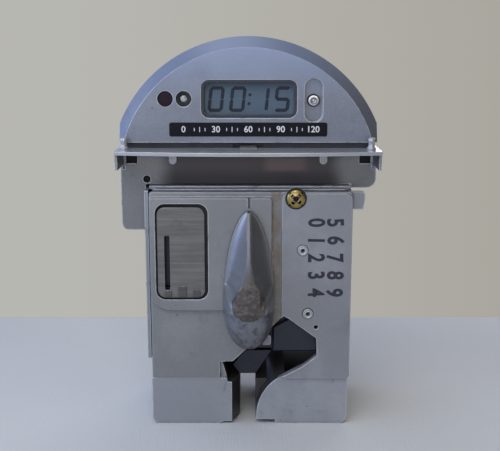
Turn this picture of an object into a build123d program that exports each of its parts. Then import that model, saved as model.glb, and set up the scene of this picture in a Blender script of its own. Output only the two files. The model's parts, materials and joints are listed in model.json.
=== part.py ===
"""Electronic parking meter mechanism: display head, shelf, back plate and coin mechanism with a twist handle.

Millimetres. +X is right seen from the front, +Y points to the back, +Z is up. While it is drawn, y = 0 is
the front cover's face and z = 0 is the underside of the legs; save() then centres the depth, so that the
finished origin is the middle of the footprint on the surface that the mechanism stands on.
"""

import os
from math import atan2, cos, degrees, pi, radians, sin, sqrt, tan

from build123d import *

# ---- Driving dimensions --------------------------------------------------------------------------

# Display head
head_width = 151.0
head_radius = 82.0
head_centre_drop = 18.0
head_face_radius = 75.8
head_wall = 2.5
head_face_y = 8.0
head_bevel_depth = 7.0
head_side_depth = 10.0
rear_bevel_depth = 7.0
rear_side_depth = 13.0
head_lip = 1.0
lip_root = 2.0
lip_reach = 2.5

# Shelf between the head and the mechanism
shelf_gap = 22.5
shelf_thickness = 2.0
shelf_flange = 15.0
shelf_flange_wall = 1.8
shelf_front_y = -15.5
shelf_bow = 6.5
shelf_rear_y = 58.0
gasket_height = 3.2
gasket_inset = 3.3
gasket_width = 6.0

# Display opening and what sits in the dial
window_width = 55.4
window_height = 21.8
window_corner = 4.6
window_centre_x = 0.5
window_rise = 28.4
window_border = 1.6
window_flange = 2.0
port_radius = 4.5
port_rise = 28.5
sensor_port_x = -48.0
lamp_port_x = -37.4
lamp_radius = 2.2
recess_width = 10.6
recess_height = 25.4
recess_depth = 3.0
recess_x = 37.8
recess_rise = 27.5
label_width = 91.8
label_height = 8.1
label_rise = 10.9
label_corner = 1.2
label_thickness = 0.3
rear_window_width = 43.8
rear_window_height = 15.8
rear_window_corner = 2.9
rear_window_rise = 27.0

# Mechanism body
cover_left_x = -58.0
cover_right_x = 61.0
body_half_width = 61.0
body_height = 144.5
cover_wall = 3.0
body_rear_y = 61.0
rear_wall = 2.5
frame_wall = 2.2
ledge_z = 30.0
leg_top_z = 41.0
leg_wall = 2.5
leg_setback = 1.2
leg_left_x = -58.5
leg_right_x = 60.1
gap_left_x = -5.4
gap_right_x = 4.5
foot_radius = 5.0

# Raised pad with the coin plate
pad_rise = 2.5
pad_left_x = -57.8
pad_right_x = 14.1
pad_top_margin = 3.0
pad_bottom_z = 73.0
pad_big_radius = 11.5
plate_recess_left_x = -54.4
plate_recess_right_x = -23.6
plate_recess_bottom_z = 80.2
plate_recess_top_margin = 3.7
plate_recess_radius = 5.8
coin_plate_gap = 0.9
coin_plate_top_gap = 2.0
coin_plate_thickness = 1.6
coin_diameter = 31.65
coin_slot_width = 3.2
coin_slot_x = -47.6
coin_slot_bottom_z = 86.0

# Right front plate
service_plate_left_x = 19.6
service_plate_thickness = 1.2

# Back plate
plate_half_width = 76.0
plate_y = 16.0
plate_thickness = 2.0
lobe_drop = 25.8
lobe_corner = 4.0
plate_corner = 5.5
plate_hole_radius = 2.2
plate_hole_x = -60.5

# Twist handle and its train
handle_x = 0.4
handle_z = 92.0
handle_length = 84.0
handle_width = 30.4
handle_rise = 24.0
shaft_radius = 4.0
bushing_radius = 7.0
gear_module = 1.5
drive_teeth = 28
rotor_teeth = 21
gear_width = 2.4
handle_travel = 90.0
rotor_drop = 8.0
switch_travel = 2.5

# Clearances
running = 0.05
fit_gap = 0.1
part_gap = 0.3
cover_gap = 0.2

# Cells
cell_radius = 7.1
cell_length = 50.0
cell_count = 2

# ---- Values worked out from them -----------------------------------------------------------------

shelf_bottom_z = body_height + shelf_gap
shelf_top_z = shelf_bottom_z + shelf_thickness
head_centre_z = shelf_top_z - head_centre_drop
head_bottom_z = shelf_top_z + gasket_height
window_centre_z = shelf_top_z + window_rise
port_z = shelf_top_z + port_rise
recess_z = shelf_top_z + recess_rise
label_centre_z = shelf_top_z + label_rise
rear_window_z = shelf_top_z + rear_window_rise
pad_top_z = body_height - pad_top_margin
plate_recess_top_z = pad_top_z - plate_recess_top_margin
head_top_z = head_centre_z + head_radius
head_rim_y = head_face_y + head_bevel_depth
head_split_y = head_rim_y + head_side_depth
rear_rim_y = head_split_y + rear_side_depth
rear_face_y = rear_rim_y + rear_bevel_depth
pad_y = -pad_rise
handle_base_y = pad_y - 0.8
handle_nose_y = handle_base_y - handle_rise
slot_length = coin_diameter + 1.3
coin_slot_top_z = coin_slot_bottom_z + slot_length
rear_cover_y = body_rear_y + cover_gap
overall_rear_y = rear_cover_y + rear_wall + 1.6
depth_shift = -(handle_nose_y + overall_rear_y) / 2
deck_z = body_height + 0.1
deck_top_z = deck_z + 1.8
frame_y = 15.0
frame_plate = 2.0
train_rear_y = 55.5
bearing_thickness = 1.8
gear_y = train_rear_y + bearing_thickness + 0.5
gear_distance = gear_module * (drive_teeth + rotor_teeth) / 2
drive_tip_radius = gear_module * (drive_teeth / 2 + 0.95)
rotor_z = handle_z - rotor_drop
rotor_x = handle_x - sqrt(gear_distance**2 - rotor_drop**2)
rotor_reach = rotor_x - coin_slot_x
cell_pitch = 2 * cell_radius + 0.2

os.makedirs("parts", exist_ok=True)


# ---- Helpers -------------------------------------------------------------------------------------


def box(x0, x1, y0, y1, z0, z1):
    """A block between two corners."""
    return Pos((x0 + x1) / 2, (y0 + y1) / 2, (z0 + z1) / 2) * Box(x1 - x0, y1 - y0, z1 - z0)


def rod_x(y, z, radius, x0, x1):
    return Pos((x0 + x1) / 2, y, z) * Rot(0, 90, 0) * Cylinder(radius, x1 - x0)


def rod_y(x, z, radius, y0, y1):
    return Pos(x, (y0 + y1) / 2, z) * Rot(90, 0, 0) * Cylinder(radius, y1 - y0)


def rod_z(x, y, radius, z0, z1):
    return Pos(x, y, (z0 + z1) / 2) * Cylinder(radius, z1 - z0)


def slab(outline, y0, y1):
    """A flat outline drawn in x and z, thickened from y0 to y1."""
    return extrude(Plane.XZ.offset(-y0) * outline, amount=-(y1 - y0))


def plan(outline, z0, z1):
    """A flat outline drawn in x and y, thickened from z0 to z1."""
    return extrude(Pos(0, 0, z0) * outline, amount=z1 - z0)


def rounded(x0, x1, z0, z1, radius):
    return Pos((x0 + x1) / 2, (z0 + z1) / 2) * RectangleRounded(x1 - x0, z1 - z0, radius)


def obround(x, z, width, height):
    return Pos(x, z) * RectangleRounded(width, height, width / 2 - 0.01)


def outline(*points):
    return make_face(Polyline(*points, close=True))


def arch(y0, y1, inset=0.0):
    """The head's outline, an arch with upright sides and a flat bottom, thickened from y0 to y1."""
    w = head_width / 2 - inset
    low = head_bottom_z + inset
    return rod_y(0, head_centre_z, head_radius - inset, y0, y1) & box(-w, w, y0, y1, low, head_top_z)


def bevelled_arch(rim_y, face_y):
    """The same outline drawn in to the smaller radius of the head's face."""
    toward = 90 if face_y < rim_y else -90
    cone = Rot(toward, 0, 0) * Cone(head_radius, head_face_radius, abs(face_y - rim_y))
    w = head_width / 2
    low_y, high_y = min(rim_y, face_y), max(rim_y, face_y)
    dome = Pos(0, (rim_y + face_y) / 2, head_centre_z) * cone
    return dome & box(-w, w, low_y, high_y, head_bottom_z, head_top_z)


def save(name, *solids):
    """Writes one named piece, or one group of separate like pieces, moved to the finished frame."""
    moved = [Pos(0, depth_shift, 0) * solid for solid in solids]
    export_step(moved[0] if len(moved) == 1 else Compound(children=moved), f"parts/{name}.step")


def screw_y(x, z, head_y, head_radius, head_height, shank_radius, length, direction=1):
    """A cross-recess screw whose head bears at head_y and whose shank points along +Y or -Y."""
    tip = head_y + direction * length
    top = head_y - direction * head_height
    head = rod_y(x, z, head_radius, min(head_y, top), max(head_y, top))
    head = chamfer(head.edges().filter_by(GeomType.CIRCLE).sort_by(Axis.Y)[0 if direction > 0 else -1], 0.35)
    shank = rod_y(x, z, shank_radius, min(head_y, tip), max(head_y, tip))
    arm = head_radius * 0.62
    depth_y = top + direction * head_height * 0.6
    low, high = min(top, depth_y), max(top, depth_y)
    cross = box(x - arm, x + arm, low, high, z - 0.5, z + 0.5)
    cross += box(x - 0.5, x + 0.5, low, high, z - arm, z + arm)
    return head + shank - cross


def screw_z(x, y, head_z, head_radius, head_height, shank_radius, length, direction=1):
    """A slotted screw whose head bears at head_z and whose shank points along +Z or -Z."""
    tip = head_z + direction * length
    top = head_z - direction * head_height
    head = rod_z(x, y, head_radius, min(head_z, top), max(head_z, top))
    shank = rod_z(x, y, shank_radius, min(head_z, tip), max(head_z, tip))
    depth_z = top + direction * head_height * 0.5
    slot = box(x - head_radius, x + head_radius, y - 0.4, y + 0.4, min(top, depth_z), max(top, depth_z))
    return head + shank - slot


def gear_outline(teeth, tooth_angle, backlash=0.3):
    """An involute spur gear's outline, with one tooth centred on tooth_angle (radians)."""
    pressure = radians(20)
    pitch_radius = gear_module * teeth / 2
    base_radius = pitch_radius * cos(pressure)
    tip_radius = pitch_radius + gear_module * 0.95
    root_radius = pitch_radius - gear_module * 1.3
    half_tooth = pi / (2 * teeth) - backlash / (2 * pitch_radius) + tan(pressure) - pressure
    steps = 5
    flank = [(root_radius, half_tooth)]
    for step in range(steps + 1):
        r = max(base_radius, root_radius) + (tip_radius - max(base_radius, root_radius)) * step / steps
        roll = sqrt(max((r / base_radius) ** 2 - 1, 0))
        flank.append((r, half_tooth - (roll - atan2(roll, 1))))
    points = []
    for tooth in range(teeth):
        centre = tooth_angle + 2 * pi * tooth / teeth
        for r, offset in flank:
            points.append((r * cos(centre - offset), r * sin(centre - offset)))
        for r, offset in reversed(flank):
            points.append((r * cos(centre + offset), r * sin(centre + offset)))
    return outline(*points)


# ---- Display head --------------------------------------------------------------------------------

boss_x = 60.0
boss_radius = 2.9
head_screw_radius = 1.4
front_boss_y = head_split_y - 3.1
rear_boss_y = head_split_y + 10.0
boss_top_z = head_bottom_z + 9.0


def head_boss(x, y):
    return rod_z(x, y, boss_radius, head_bottom_z, boss_top_z)


def head_boss_hole(x, y):
    return rod_z(x, y, head_screw_radius + running, head_bottom_z, boss_top_z - 1)


def window_outline(inset):
    """The display opening's outline, drawn in by the inset."""
    width, height = window_width / 2 - inset, window_height / 2 - inset
    return rounded(window_centre_x - width, window_centre_x + width, window_centre_z - height,
                   window_centre_z + height, window_corner - inset)


def dial_cover():
    inner_face_y = head_face_y + head_wall
    shell = bevelled_arch(head_rim_y, head_face_y) + arch(head_rim_y, head_split_y)
    shell -= arch(inner_face_y, head_rim_y + 1, head_wall + head_radius - head_face_radius)
    shell -= arch(head_rim_y + 1, head_split_y, head_wall)
    backing = slab(obround(recess_x, recess_z, recess_width + 4, recess_height + 4), inner_face_y,
                   inner_face_y + 2.5)
    shell += backing
    shell -= slab(window_outline(0), head_face_y - 1, inner_face_y + 1)
    for port_x in (sensor_port_x, lamp_port_x):
        shell -= rod_y(port_x, port_z, port_radius, head_face_y - 1, inner_face_y + 1)
    shell -= slab(obround(recess_x, recess_z, recess_width, recess_height), head_face_y - 1,
                  head_face_y + recess_depth)
    shell -= rod_y(recess_x, recess_z, 1.5, head_face_y, inner_face_y + 2.5)
    for side in (-1, 1):
        shell += head_boss(side * boss_x, front_boss_y)
        shell -= head_boss_hole(side * boss_x, front_boss_y)
    return shell


def rear_window_outline(gap):
    width, height = rear_window_width / 2 + gap, rear_window_height / 2 + gap
    return rounded(-width, width, rear_window_z - height, rear_window_z + height, rear_window_corner + gap)


def head_rear_cover():
    shell = bevelled_arch(rear_rim_y, rear_face_y) + arch(head_split_y, rear_rim_y)
    shell -= arch(head_split_y, rear_rim_y - 1, head_wall)
    shell -= arch(rear_rim_y - 1, rear_face_y - head_wall, head_wall + head_radius - head_face_radius)
    lip_inset = head_wall + fit_gap
    lip_space = arch(head_split_y - lip_reach, head_split_y + lip_root, lip_inset + head_lip)
    shell += arch(head_split_y, head_split_y + lip_root, head_wall) - lip_space
    shell += arch(head_split_y - lip_reach, head_split_y, lip_inset) - lip_space
    shell -= box(-ribbon_half_width, ribbon_half_width, head_split_y - 3, head_split_y + 8, head_bottom_z - 1,
                 head_bottom_z + head_wall + head_lip + 1)
    shell -= slab(rear_window_outline(fit_gap), rear_face_y - head_wall - 1, rear_face_y + 1)
    for side in (-1, 1):
        shell -= rod_z(side * boss_x, front_boss_y, boss_radius + part_gap, head_bottom_z, boss_top_z + 1)
        shell += head_boss(side * boss_x, rear_boss_y)
        shell -= head_boss_hole(side * boss_x, rear_boss_y)
    return shell


def display_frame():
    y0 = head_face_y + 0.9
    y1 = head_face_y + head_wall + 1.4
    body = slab(window_outline(fit_gap), y0, y1)
    body += slab(window_outline(-window_flange), head_face_y + head_wall, y1)
    return body - slab(window_outline(window_border), y0 - 1, y1 + 1)


def display_window():
    return slab(window_outline(window_border + fit_gap), head_face_y + 2.2, head_face_y + 3.2)


cell_front_y = head_face_y + head_wall + 1.4
cell_depth = 2.0
cell_half_width = window_width / 2 + 1.5
cell_half_height = window_height / 2 + 1.5
board_y = cell_front_y + cell_depth + 4.0
board_thickness = 1.6
ribbon_half_width = 11.0

save("dial_cover", dial_cover())
save("head_rear_cover", head_rear_cover())
save("display_frame", display_frame())
save("display_window", display_window())
save("display_cell", box(window_centre_x - cell_half_width, window_centre_x + cell_half_width, cell_front_y,
                         cell_front_y + cell_depth, window_centre_z - cell_half_height,
                         window_centre_z + cell_half_height))
save("elastomer_connectors",
     *[box(window_centre_x - cell_half_width + 2, window_centre_x + cell_half_width - 2,
           cell_front_y + cell_depth, board_y, z - 1.2, z + 1.2)
       for z in (window_centre_z - cell_half_height + 2, window_centre_z + cell_half_height - 2)])


def display_board():
    board = arch(board_y, board_y + board_thickness, head_wall + 9)
    rear_y = board_y + board_thickness
    chip = box(-9, 9, rear_y, rear_y + 2, window_centre_z - 7.4, window_centre_z + 6.6)
    header = box(-ribbon_half_width, ribbon_half_width, rear_y, rear_y + 3, head_bottom_z + 13,
                 head_bottom_z + 17)
    return board + chip + header


save("display_board", display_board())
sensor_window = rod_y(sensor_port_x, port_z, port_radius - running, head_face_y + 0.5, head_face_y + 3)
save("sensor_window", fillet(sensor_window.edges().sort_by(Axis.Y)[0], 0.4))
save("lamp_ring", rod_y(lamp_port_x, port_z, port_radius - running, head_face_y + 0.4, head_face_y + 3)
     - rod_y(lamp_port_x, port_z, lamp_radius + running, head_face_y, head_face_y + 4))
save("status_lamp", rod_y(lamp_port_x, port_z, lamp_radius, head_face_y + 1.6, board_y)
     + Pos(lamp_port_x, head_face_y + 1.6, port_z) * Rot(90, 0, 0) * Sphere(lamp_radius, arc_size1=0))
save("dial_screw", screw_y(recess_x, recess_z, head_face_y + recess_depth, 3.4, 2.0, 1.45, 6.0))
label_face = rounded(-label_width / 2, label_width / 2, label_centre_z - label_height / 2,
                     label_centre_z + label_height / 2, label_corner)
save("minute_label", slab(label_face, head_face_y - label_thickness, head_face_y))
save("rear_window", slab(rear_window_outline(0), rear_face_y - 2.0, rear_face_y - 0.5))

# ---- Shelf ---------------------------------------------------------------------------------------

shelf_half_width = plate_half_width


def shelf_plate():
    end_y = shelf_front_y + shelf_bow
    edge = ThreePointArc((-shelf_half_width, end_y), (0, shelf_front_y), (shelf_half_width, end_y))
    rest = Polyline((shelf_half_width, end_y), (shelf_half_width, shelf_rear_y),
                    (-shelf_half_width, shelf_rear_y), (-shelf_half_width, end_y))
    plate = plan(make_face(Curve() + [edge, rest]), shelf_bottom_z, shelf_top_z)
    plate = fillet(plate.edges().filter_by(Axis.Z).group_by(Axis.Y)[-1], 6)
    plate -= box(-ribbon_half_width - 2, ribbon_half_width + 2, head_split_y, head_split_y + 8,
                 shelf_bottom_z - 1, shelf_top_z + 1)
    for side in (-1, 1):
        for y in (front_boss_y, rear_boss_y):
            plate -= rod_z(side * boss_x, y, head_screw_radius + 0.2, shelf_bottom_z - 1, shelf_top_z + 1)
    tongue_y = head_face_y + gasket_inset
    plate += box(-5, 5, tongue_y - 2.5, tongue_y + 2.8, shelf_top_z, shelf_top_z + 1.4)
    plate += shelf_flanges()
    return plate + shelf_tab(-44.8) + shelf_tab(44.5)


def shelf_flanges():
    """The stiffening flanges bent down behind the back plate, along both ends and the rear edge."""
    low_z = shelf_bottom_z - shelf_flange
    outer = shelf_half_width - shelf_flange_wall
    corner = 6.0
    rear = box(-outer + corner, outer - corner, shelf_rear_y - shelf_flange_wall, shelf_rear_y, low_z,
               shelf_bottom_z)
    ends = box(-shelf_half_width, -outer, plate_y + plate_thickness + part_gap, shelf_rear_y - corner, low_z,
               shelf_bottom_z)
    return rear + ends + mirror(ends, Plane.YZ)


def head_gasket():
    x = head_width / 2 - gasket_inset
    y0 = head_face_y + gasket_inset
    y1 = rear_face_y - gasket_inset
    ring = box(-x, x, y0, y1, shelf_top_z, head_bottom_z)
    ring -= box(-x + gasket_width, x - gasket_width, y0 + gasket_width, y1 - gasket_width, shelf_top_z,
                head_bottom_z)
    for side in (-1, 1):
        for y in (front_boss_y, rear_boss_y):
            ring -= rod_z(side * boss_x, y, head_screw_radius + 0.4, shelf_top_z, head_bottom_z)
    return ring - box(-9, 9, y0, y0 + 3, shelf_top_z, head_bottom_z)


def locating_stud(x):
    """A turned post with a wide foot that stands on the shelf's end in front of the head."""
    foot = rod_z(x, 1.2, 2.6, shelf_top_z, shelf_top_z + 1.6)
    stem = rod_z(x, 1.2, 1.5, shelf_top_z + 1.6, shelf_top_z + 4.2)
    cap = rod_z(x, 1.2, 2.2, shelf_top_z + 4.2, shelf_top_z + 7.0)
    return foot + stem + fillet(cap.edges().group_by(Axis.Z)[-1], 1.0)


def shelf_tab(x):
    """A round-ended tab under the shelf, just in front of the back plate."""
    front, back = plate_y - 1.6, plate_y - 0.1
    tab = slab(obround(x, shelf_bottom_z - 4.2, 4.6, 8.4), front, back)
    return tab + box(x - 2.3, x + 2.3, front, back, shelf_bottom_z - 4, shelf_bottom_z)


save("shelf_plate", shelf_plate())
save("head_gasket", head_gasket())
save("locating_studs", locating_stud(-71.6), locating_stud(70.9))
save("head_screws", *[screw_z(side * boss_x, y, shelf_bottom_z, 2.6, 1.8, head_screw_radius, 12)
                      for side in (-1, 1) for y in (front_boss_y, rear_boss_y)])

# ---- Back plate ----------------------------------------------------------------------------------

plate_rear_y = plate_y + plate_thickness
lobe_right_x = -body_half_width - part_gap
lobe_bottom_z = body_height - lobe_drop
plate_right_bottom_z = body_height - 0.1
plate_hole_z = deck_top_z + plate_hole_radius + 0.9


def back_plate():
    bottom_z = deck_top_z + cover_gap
    right_x = body_half_width + part_gap
    points = [(-plate_half_width, shelf_bottom_z), (-plate_half_width, lobe_bottom_z),
              (lobe_right_x, lobe_bottom_z), (lobe_right_x, bottom_z), (right_x, bottom_z),
              (right_x, plate_right_bottom_z),
              (plate_half_width, plate_right_bottom_z), (plate_half_width, shelf_bottom_z)]
    plate = slab(outline(*points), plate_y, plate_rear_y)
    upright = plate.edges().filter_by(Axis.Y)
    plate = fillet(upright.sort_by_distance((-plate_half_width, plate_y, lobe_bottom_z))[0], lobe_corner)
    upright = plate.edges().filter_by(Axis.Y)
    right_corner = (plate_half_width, plate_y, plate_right_bottom_z)
    plate = fillet(upright.sort_by_distance(right_corner)[0], plate_corner)
    end_y = shelf_front_y + shelf_bow + 2
    for side in (-1, 1):
        outer = side * plate_half_width
        inner = outer - side * plate_thickness * 0.75
        low, high = min(outer, inner), max(outer, inner)
        plate += box(low, high, end_y, plate_y, shelf_bottom_z - 9, shelf_bottom_z)
        notch = side * (plate_half_width - 10)
        low, high = min(notch, inner), max(notch, inner)
        plate -= box(low, high, plate_y - 1, plate_rear_y + 1, shelf_bottom_z - 8, shelf_bottom_z - 3.2)
        slit = inner - side * 1.2
        low, high = min(slit, inner), max(slit, inner)
        plate -= box(low, high, plate_y - 1, plate_rear_y + 1, shelf_bottom_z - 11.5, shelf_bottom_z - 7)
    return plate - rod_y(plate_hole_x, plate_hole_z, plate_hole_radius, plate_y - 1, plate_rear_y + 1)


save("back_plate", back_plate())

# ---- Body: covers, frames and legs ---------------------------------------------------------------

opening_points = [(-17.3, ledge_z - 6), (-17.3, 40.4), (-9.3, 40.8), (-1.9, 47.9), (10.4, 57.5), (13.7, 62.0),
                  (21.0, 69.7), (24.9, 67.4), (40.8, 55.6), (41.2, 44.6), (32.4, 37.5), (20.3, 30.9),
                  (17.0, 29.6), (17.0, ledge_z - 6)]
coin_window = rounded(coin_slot_x - 2.6, coin_slot_x + 2.6, coin_slot_bottom_z - 2, coin_slot_top_z + 2, 1.5)
cover_screw_x = 27.7
cover_screw_z = body_height - 3.8
cover_screw_head = 5.4
rivet_places = [(31.9, 109.9), (35.4, 71.2)]
pinhole_x = 40.4
pinhole_z = 62.6
pinhole_radius = 1.3


def shaped_opening(y0, y1):
    return slab(outline(*opening_points), y0, y1)


def rounded_front(shape, radius):
    """Rounds the edges round a shape's front face."""
    return fillet(shape.faces().sort_by(Axis.Y)[0].edges(), radius)


def raised_pad():
    big = pad_big_radius
    outline_2d = rounded(pad_left_x, pad_right_x, pad_bottom_z, pad_top_z, 2.0)
    outline_2d -= Pos(pad_left_x + big / 2, pad_bottom_z + big / 2) * Rectangle(big, big)
    outline_2d += Pos(pad_left_x + big, pad_bottom_z + big) * Circle(big)
    pad = slab(outline_2d, pad_y, 0)
    pad = rounded_front(pad, 0.9)
    return pad - rod_y(handle_x, handle_z, bushing_radius, pad_y - 1, 0)


def front_cover():
    cover = slab(rounded(cover_left_x, cover_right_x, ledge_z, body_height, 2.0), 0, cover_wall)
    cover = rounded_front(cover, 0.7) + raised_pad()
    flange_right_x = 48.0
    cover += box(cover_left_x + 2, flange_right_x, cover_wall, cover_wall + 5, body_height - 2.5, body_height)
    cover -= slab(rounded(plate_recess_left_x, plate_recess_right_x, plate_recess_bottom_z,
                          plate_recess_top_z, plate_recess_radius), pad_y - 1, 0)
    cover -= slab(coin_window, -1, cover_wall + 1)
    cover -= shaped_opening(pad_y - 1, cover_wall + 1)
    cover -= rod_y(handle_x, handle_z, bushing_radius, pad_y - 1, cover_wall + 1)
    cover -= rod_y(cover_screw_x, cover_screw_z, 1.7, -1, cover_wall + 6)
    for x, z in rivet_places:
        cover -= rod_y(x, z, 1.6, -1, cover_wall + 1)
    cover -= rod_y(pinhole_x, pinhole_z, pinhole_radius, -1, cover_wall + 1)
    mark_y = pad_y - 0.4
    return cover + box(handle_x - 0.8, handle_x + 0.8, mark_y, pad_y, handle_z + handle_length / 2 + 1.2,
                       pad_top_z - 0.6)


def service_plate():
    plate = slab(rounded(service_plate_left_x, cover_right_x - 0.2, ledge_z + 0.2, body_height - 0.6, 4.2),
                 -service_plate_thickness, 0)
    plate = rounded_front(plate, 0.4)
    plate -= shaped_opening(-service_plate_thickness - 1, 1)
    plate -= rod_y(cover_screw_x, cover_screw_z, 1.7, -3, 1)
    for x, z in rivet_places:
        plate -= rod_y(x, z, 1.6, -3, 1)
    return plate - rod_y(pinhole_x, pinhole_z, pinhole_radius, -3, 1)


def ringed_rivet(x, z):
    face_y = -service_plate_thickness
    head = rod_y(x, z, 3.1, face_y - 0.7, face_y)
    head -= rod_y(x, z, 2.3, face_y - 0.7, face_y - 0.3) - rod_y(x, z, 1.5, face_y - 0.7, face_y - 0.3)
    return head + rod_y(x, z, 1.55, face_y, cover_wall) + rod_y(x, z, 2.4, cover_wall, cover_wall + 0.8)


save("front_cover", front_cover())
save("service_plate", service_plate())
save("cover_screw",
     screw_y(cover_screw_x, cover_screw_z, -service_plate_thickness, cover_screw_head, 2.2, 1.6, 9))
save("cover_rivets", *[ringed_rivet(x, z) for x, z in rivet_places])

side_bottom_z = leg_top_z + 0.3
lug_right_x = 68.4
lug_y = cover_wall + cover_gap
lug_thickness = 3.0
lug_bottom_z = body_height - 10.9


def locating_lug():
    points = [(50.0, lug_bottom_z), (lug_right_x - 1.0, lug_bottom_z), (lug_right_x, lug_bottom_z + 6),
              (lug_right_x, body_height - 0.3), (50.0, body_height - 0.3)]
    lug = slab(outline(*points), lug_y, lug_y + lug_thickness)
    corner = lug.edges().filter_by(Axis.Y).sort_by_distance((lug_right_x, lug_y, body_height - 0.3))[0]
    return fillet(corner, 2.2)


def side_frame(outer_x, front_y):
    side = 1 if outer_x > 0 else -1
    inner_x = outer_x - side * frame_wall
    low, high = min(outer_x, inner_x), max(outer_x, inner_x)
    frame = box(low, high, front_y, body_rear_y, side_bottom_z, body_height)
    slot = box(low - 1, high + 1, 26, 48, 58, 64)
    return frame - slot


def deck():
    """The stepped top of the body."""
    left_x = cover_left_x + 1.0
    lower = box(left_x, cover_right_x - 0.6, cover_wall + 1.5, 10, deck_z, deck_z + 0.9)
    lower = fillet(lower.edges().filter_by(Axis.Z).group_by(Axis.Y)[0], 4.5)
    upper = box(left_x - 1.5, cover_right_x - 0.6, 10, body_rear_y, deck_z, deck_top_z)
    top = lower + upper
    top -= box(-ribbon_half_width - 2, ribbon_half_width + 2, 24, 40, deck_z - 1, deck_top_z + 1)
    web_y = plate_rear_y
    return top + box(-46, 46, web_y, web_y + 1.8, deck_top_z, shelf_bottom_z - 1)


save("side_frame_left", side_frame(-body_half_width, 4.0))
save("side_frame_right", side_frame(body_half_width - 0.3, lug_y) + locating_lug())
save("deck", deck())


def leg_left():
    edge = Curve() + [Polyline((-15.6, leg_top_z), (-15.6, 38.7)),
                      ThreePointArc((-15.6, 38.7), (-11.6, 22.0), (-10.0, 5.0)),
                      Polyline((-10.0, 5.0), (-10.0, 0), (leg_left_x, 0), (leg_left_x, leg_top_z),
                               (-15.6, leg_top_z))]
    leg = slab(make_face(edge), leg_setback, body_rear_y)
    flare = plan(outline((-14, leg_setback), (-10.0, leg_setback), (gap_left_x, 14),
                         (gap_left_x, body_rear_y), (-14, body_rear_y)), 0, 27)
    leg += flare
    leg -= box(leg_left_x - 1, -5, leg_setback - 1, cover_wall + cover_gap, ledge_z - 0.3, leg_top_z + 1)
    leg -= box(leg_left_x + leg_wall, -18.5, leg_setback + leg_wall + 1, body_rear_y + 1, leg_wall,
               leg_top_z + 1)
    leg -= box(-36, gap_left_x + 1, 14, body_rear_y + 1, 28, leg_top_z + 1)
    leg -= box(-15.5, gap_left_x + 1, leg_setback - 1, body_rear_y + 1, -1, 1.4)
    leg -= box(-17.4, -15.5, leg_setback - 1, leg_setback + 3, -1, 0.8)
    outer = leg.edges().filter_by(Axis.Y).sort_by_distance((leg_left_x, 30, 0))[0]
    return fillet(outer, foot_radius)


def leg_right():
    edge = Curve() + [ThreePointArc((20.3, 30.9), (9.2, 20.6), (4.9, 5.0)),
                      Polyline((4.9, 5.0), (gap_right_x, 2.0), (gap_right_x, 0), (leg_right_x, 0),
                               (leg_right_x, leg_top_z), (40.0, leg_top_z), (32.4, 37.5), (20.3, 30.9))]
    leg = slab(make_face(edge), leg_setback, body_rear_y)
    leg += box(gap_right_x, 12, 14, body_rear_y, 0, 24)
    leg -= box(15, leg_right_x + 1, leg_setback - 1, cover_wall + cover_gap, ledge_z - 0.3, leg_top_z + 1)
    leg -= box(22, leg_right_x - leg_wall, leg_setback + leg_wall + 1, body_rear_y + 1, leg_wall,
               leg_top_z + 1)
    leg -= box(gap_right_x - 1, 16.3, leg_setback - 1, body_rear_y + 1, -1, 2.6)
    outer = leg.edges().filter_by(Axis.Y).sort_by_distance((leg_right_x, 30, 0))[0]
    return fillet(outer, foot_radius)


save("leg_left", leg_left())
save("leg_right", leg_right())

# ---- Rear cover and battery door -----------------------------------------------------------------

holder_wall = 1.6
cells_left_x = handle_x + drive_tip_radius + 3.0
cells_right_x = cells_left_x + cell_count * cell_pitch + 0.2
cells_bottom_z = 80.0
cells_top_z = cells_bottom_z + cell_length + 4.0
cells_front_y = body_rear_y - 2 * cell_radius - 3.2
door_left_x = cells_left_x - 0.5
door_right_x = cells_right_x + 0.5
door_bottom_z = cells_bottom_z - 2
door_top_z = cells_top_z + 4
door_travel = 24.0
grip_grooves = 5
grip_half_length = 6.0
rail_width = 1.2
rear_outer_y = rear_cover_y + rear_wall


screw_side_x = body_half_width - 7.0
low_screw_z = 12
middle_screw_z = 74
rear_screw_places = [(-screw_side_x, body_height - 8.5), (screw_side_x, low_screw_z),
                     (-screw_side_x, low_screw_z), (-screw_side_x, middle_screw_z)]


def rear_cover():
    cover = box(-body_half_width + 0.4, body_half_width - 0.7, rear_cover_y, rear_outer_y, 3,
                body_height - 0.3)
    cover = fillet(cover.edges().filter_by(Axis.Y), 3)
    cover -= box(gap_left_x - 0.6, gap_right_x + 0.6, rear_cover_y - 1, rear_outer_y + 1, 0, ledge_z)
    cover -= box(door_left_x + 2, door_right_x - 2, rear_cover_y - 1, rear_outer_y + 1, door_bottom_z + 2,
                 door_top_z - 2)
    for low in (door_left_x - part_gap - rail_width, door_right_x + part_gap):
        cover += box(low, low + rail_width, rear_outer_y, overall_rear_y - 0.8, door_bottom_z - 1.5,
                     door_top_z)
    cover += box(door_left_x, door_right_x, rear_outer_y, overall_rear_y, door_bottom_z - 1.5,
                 door_bottom_z - part_gap)
    for x, z in rear_screw_places:
        cover -= rod_y(x, z, 1.7, rear_cover_y - 1, rear_outer_y + 1)
    return cover


def battery_door():
    door = box(door_left_x, door_right_x, rear_outer_y + 0.1, overall_rear_y - 0.2, door_bottom_z, door_top_z)
    middle_x = (door_left_x + door_right_x) / 2
    for groove in range(grip_grooves):
        z = door_top_z - 8 - 2.4 * groove
        door -= box(middle_x - grip_half_length, middle_x + grip_half_length, overall_rear_y - 0.7,
                    overall_rear_y, z, z + 1.1)
    return door


save("rear_cover", rear_cover())
save("battery_door", battery_door())
save("chassis_screws", *[screw_y(x, z, rear_outer_y, 2.8, 1.4, 1.5, 5, -1) for x, z in rear_screw_places])


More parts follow.
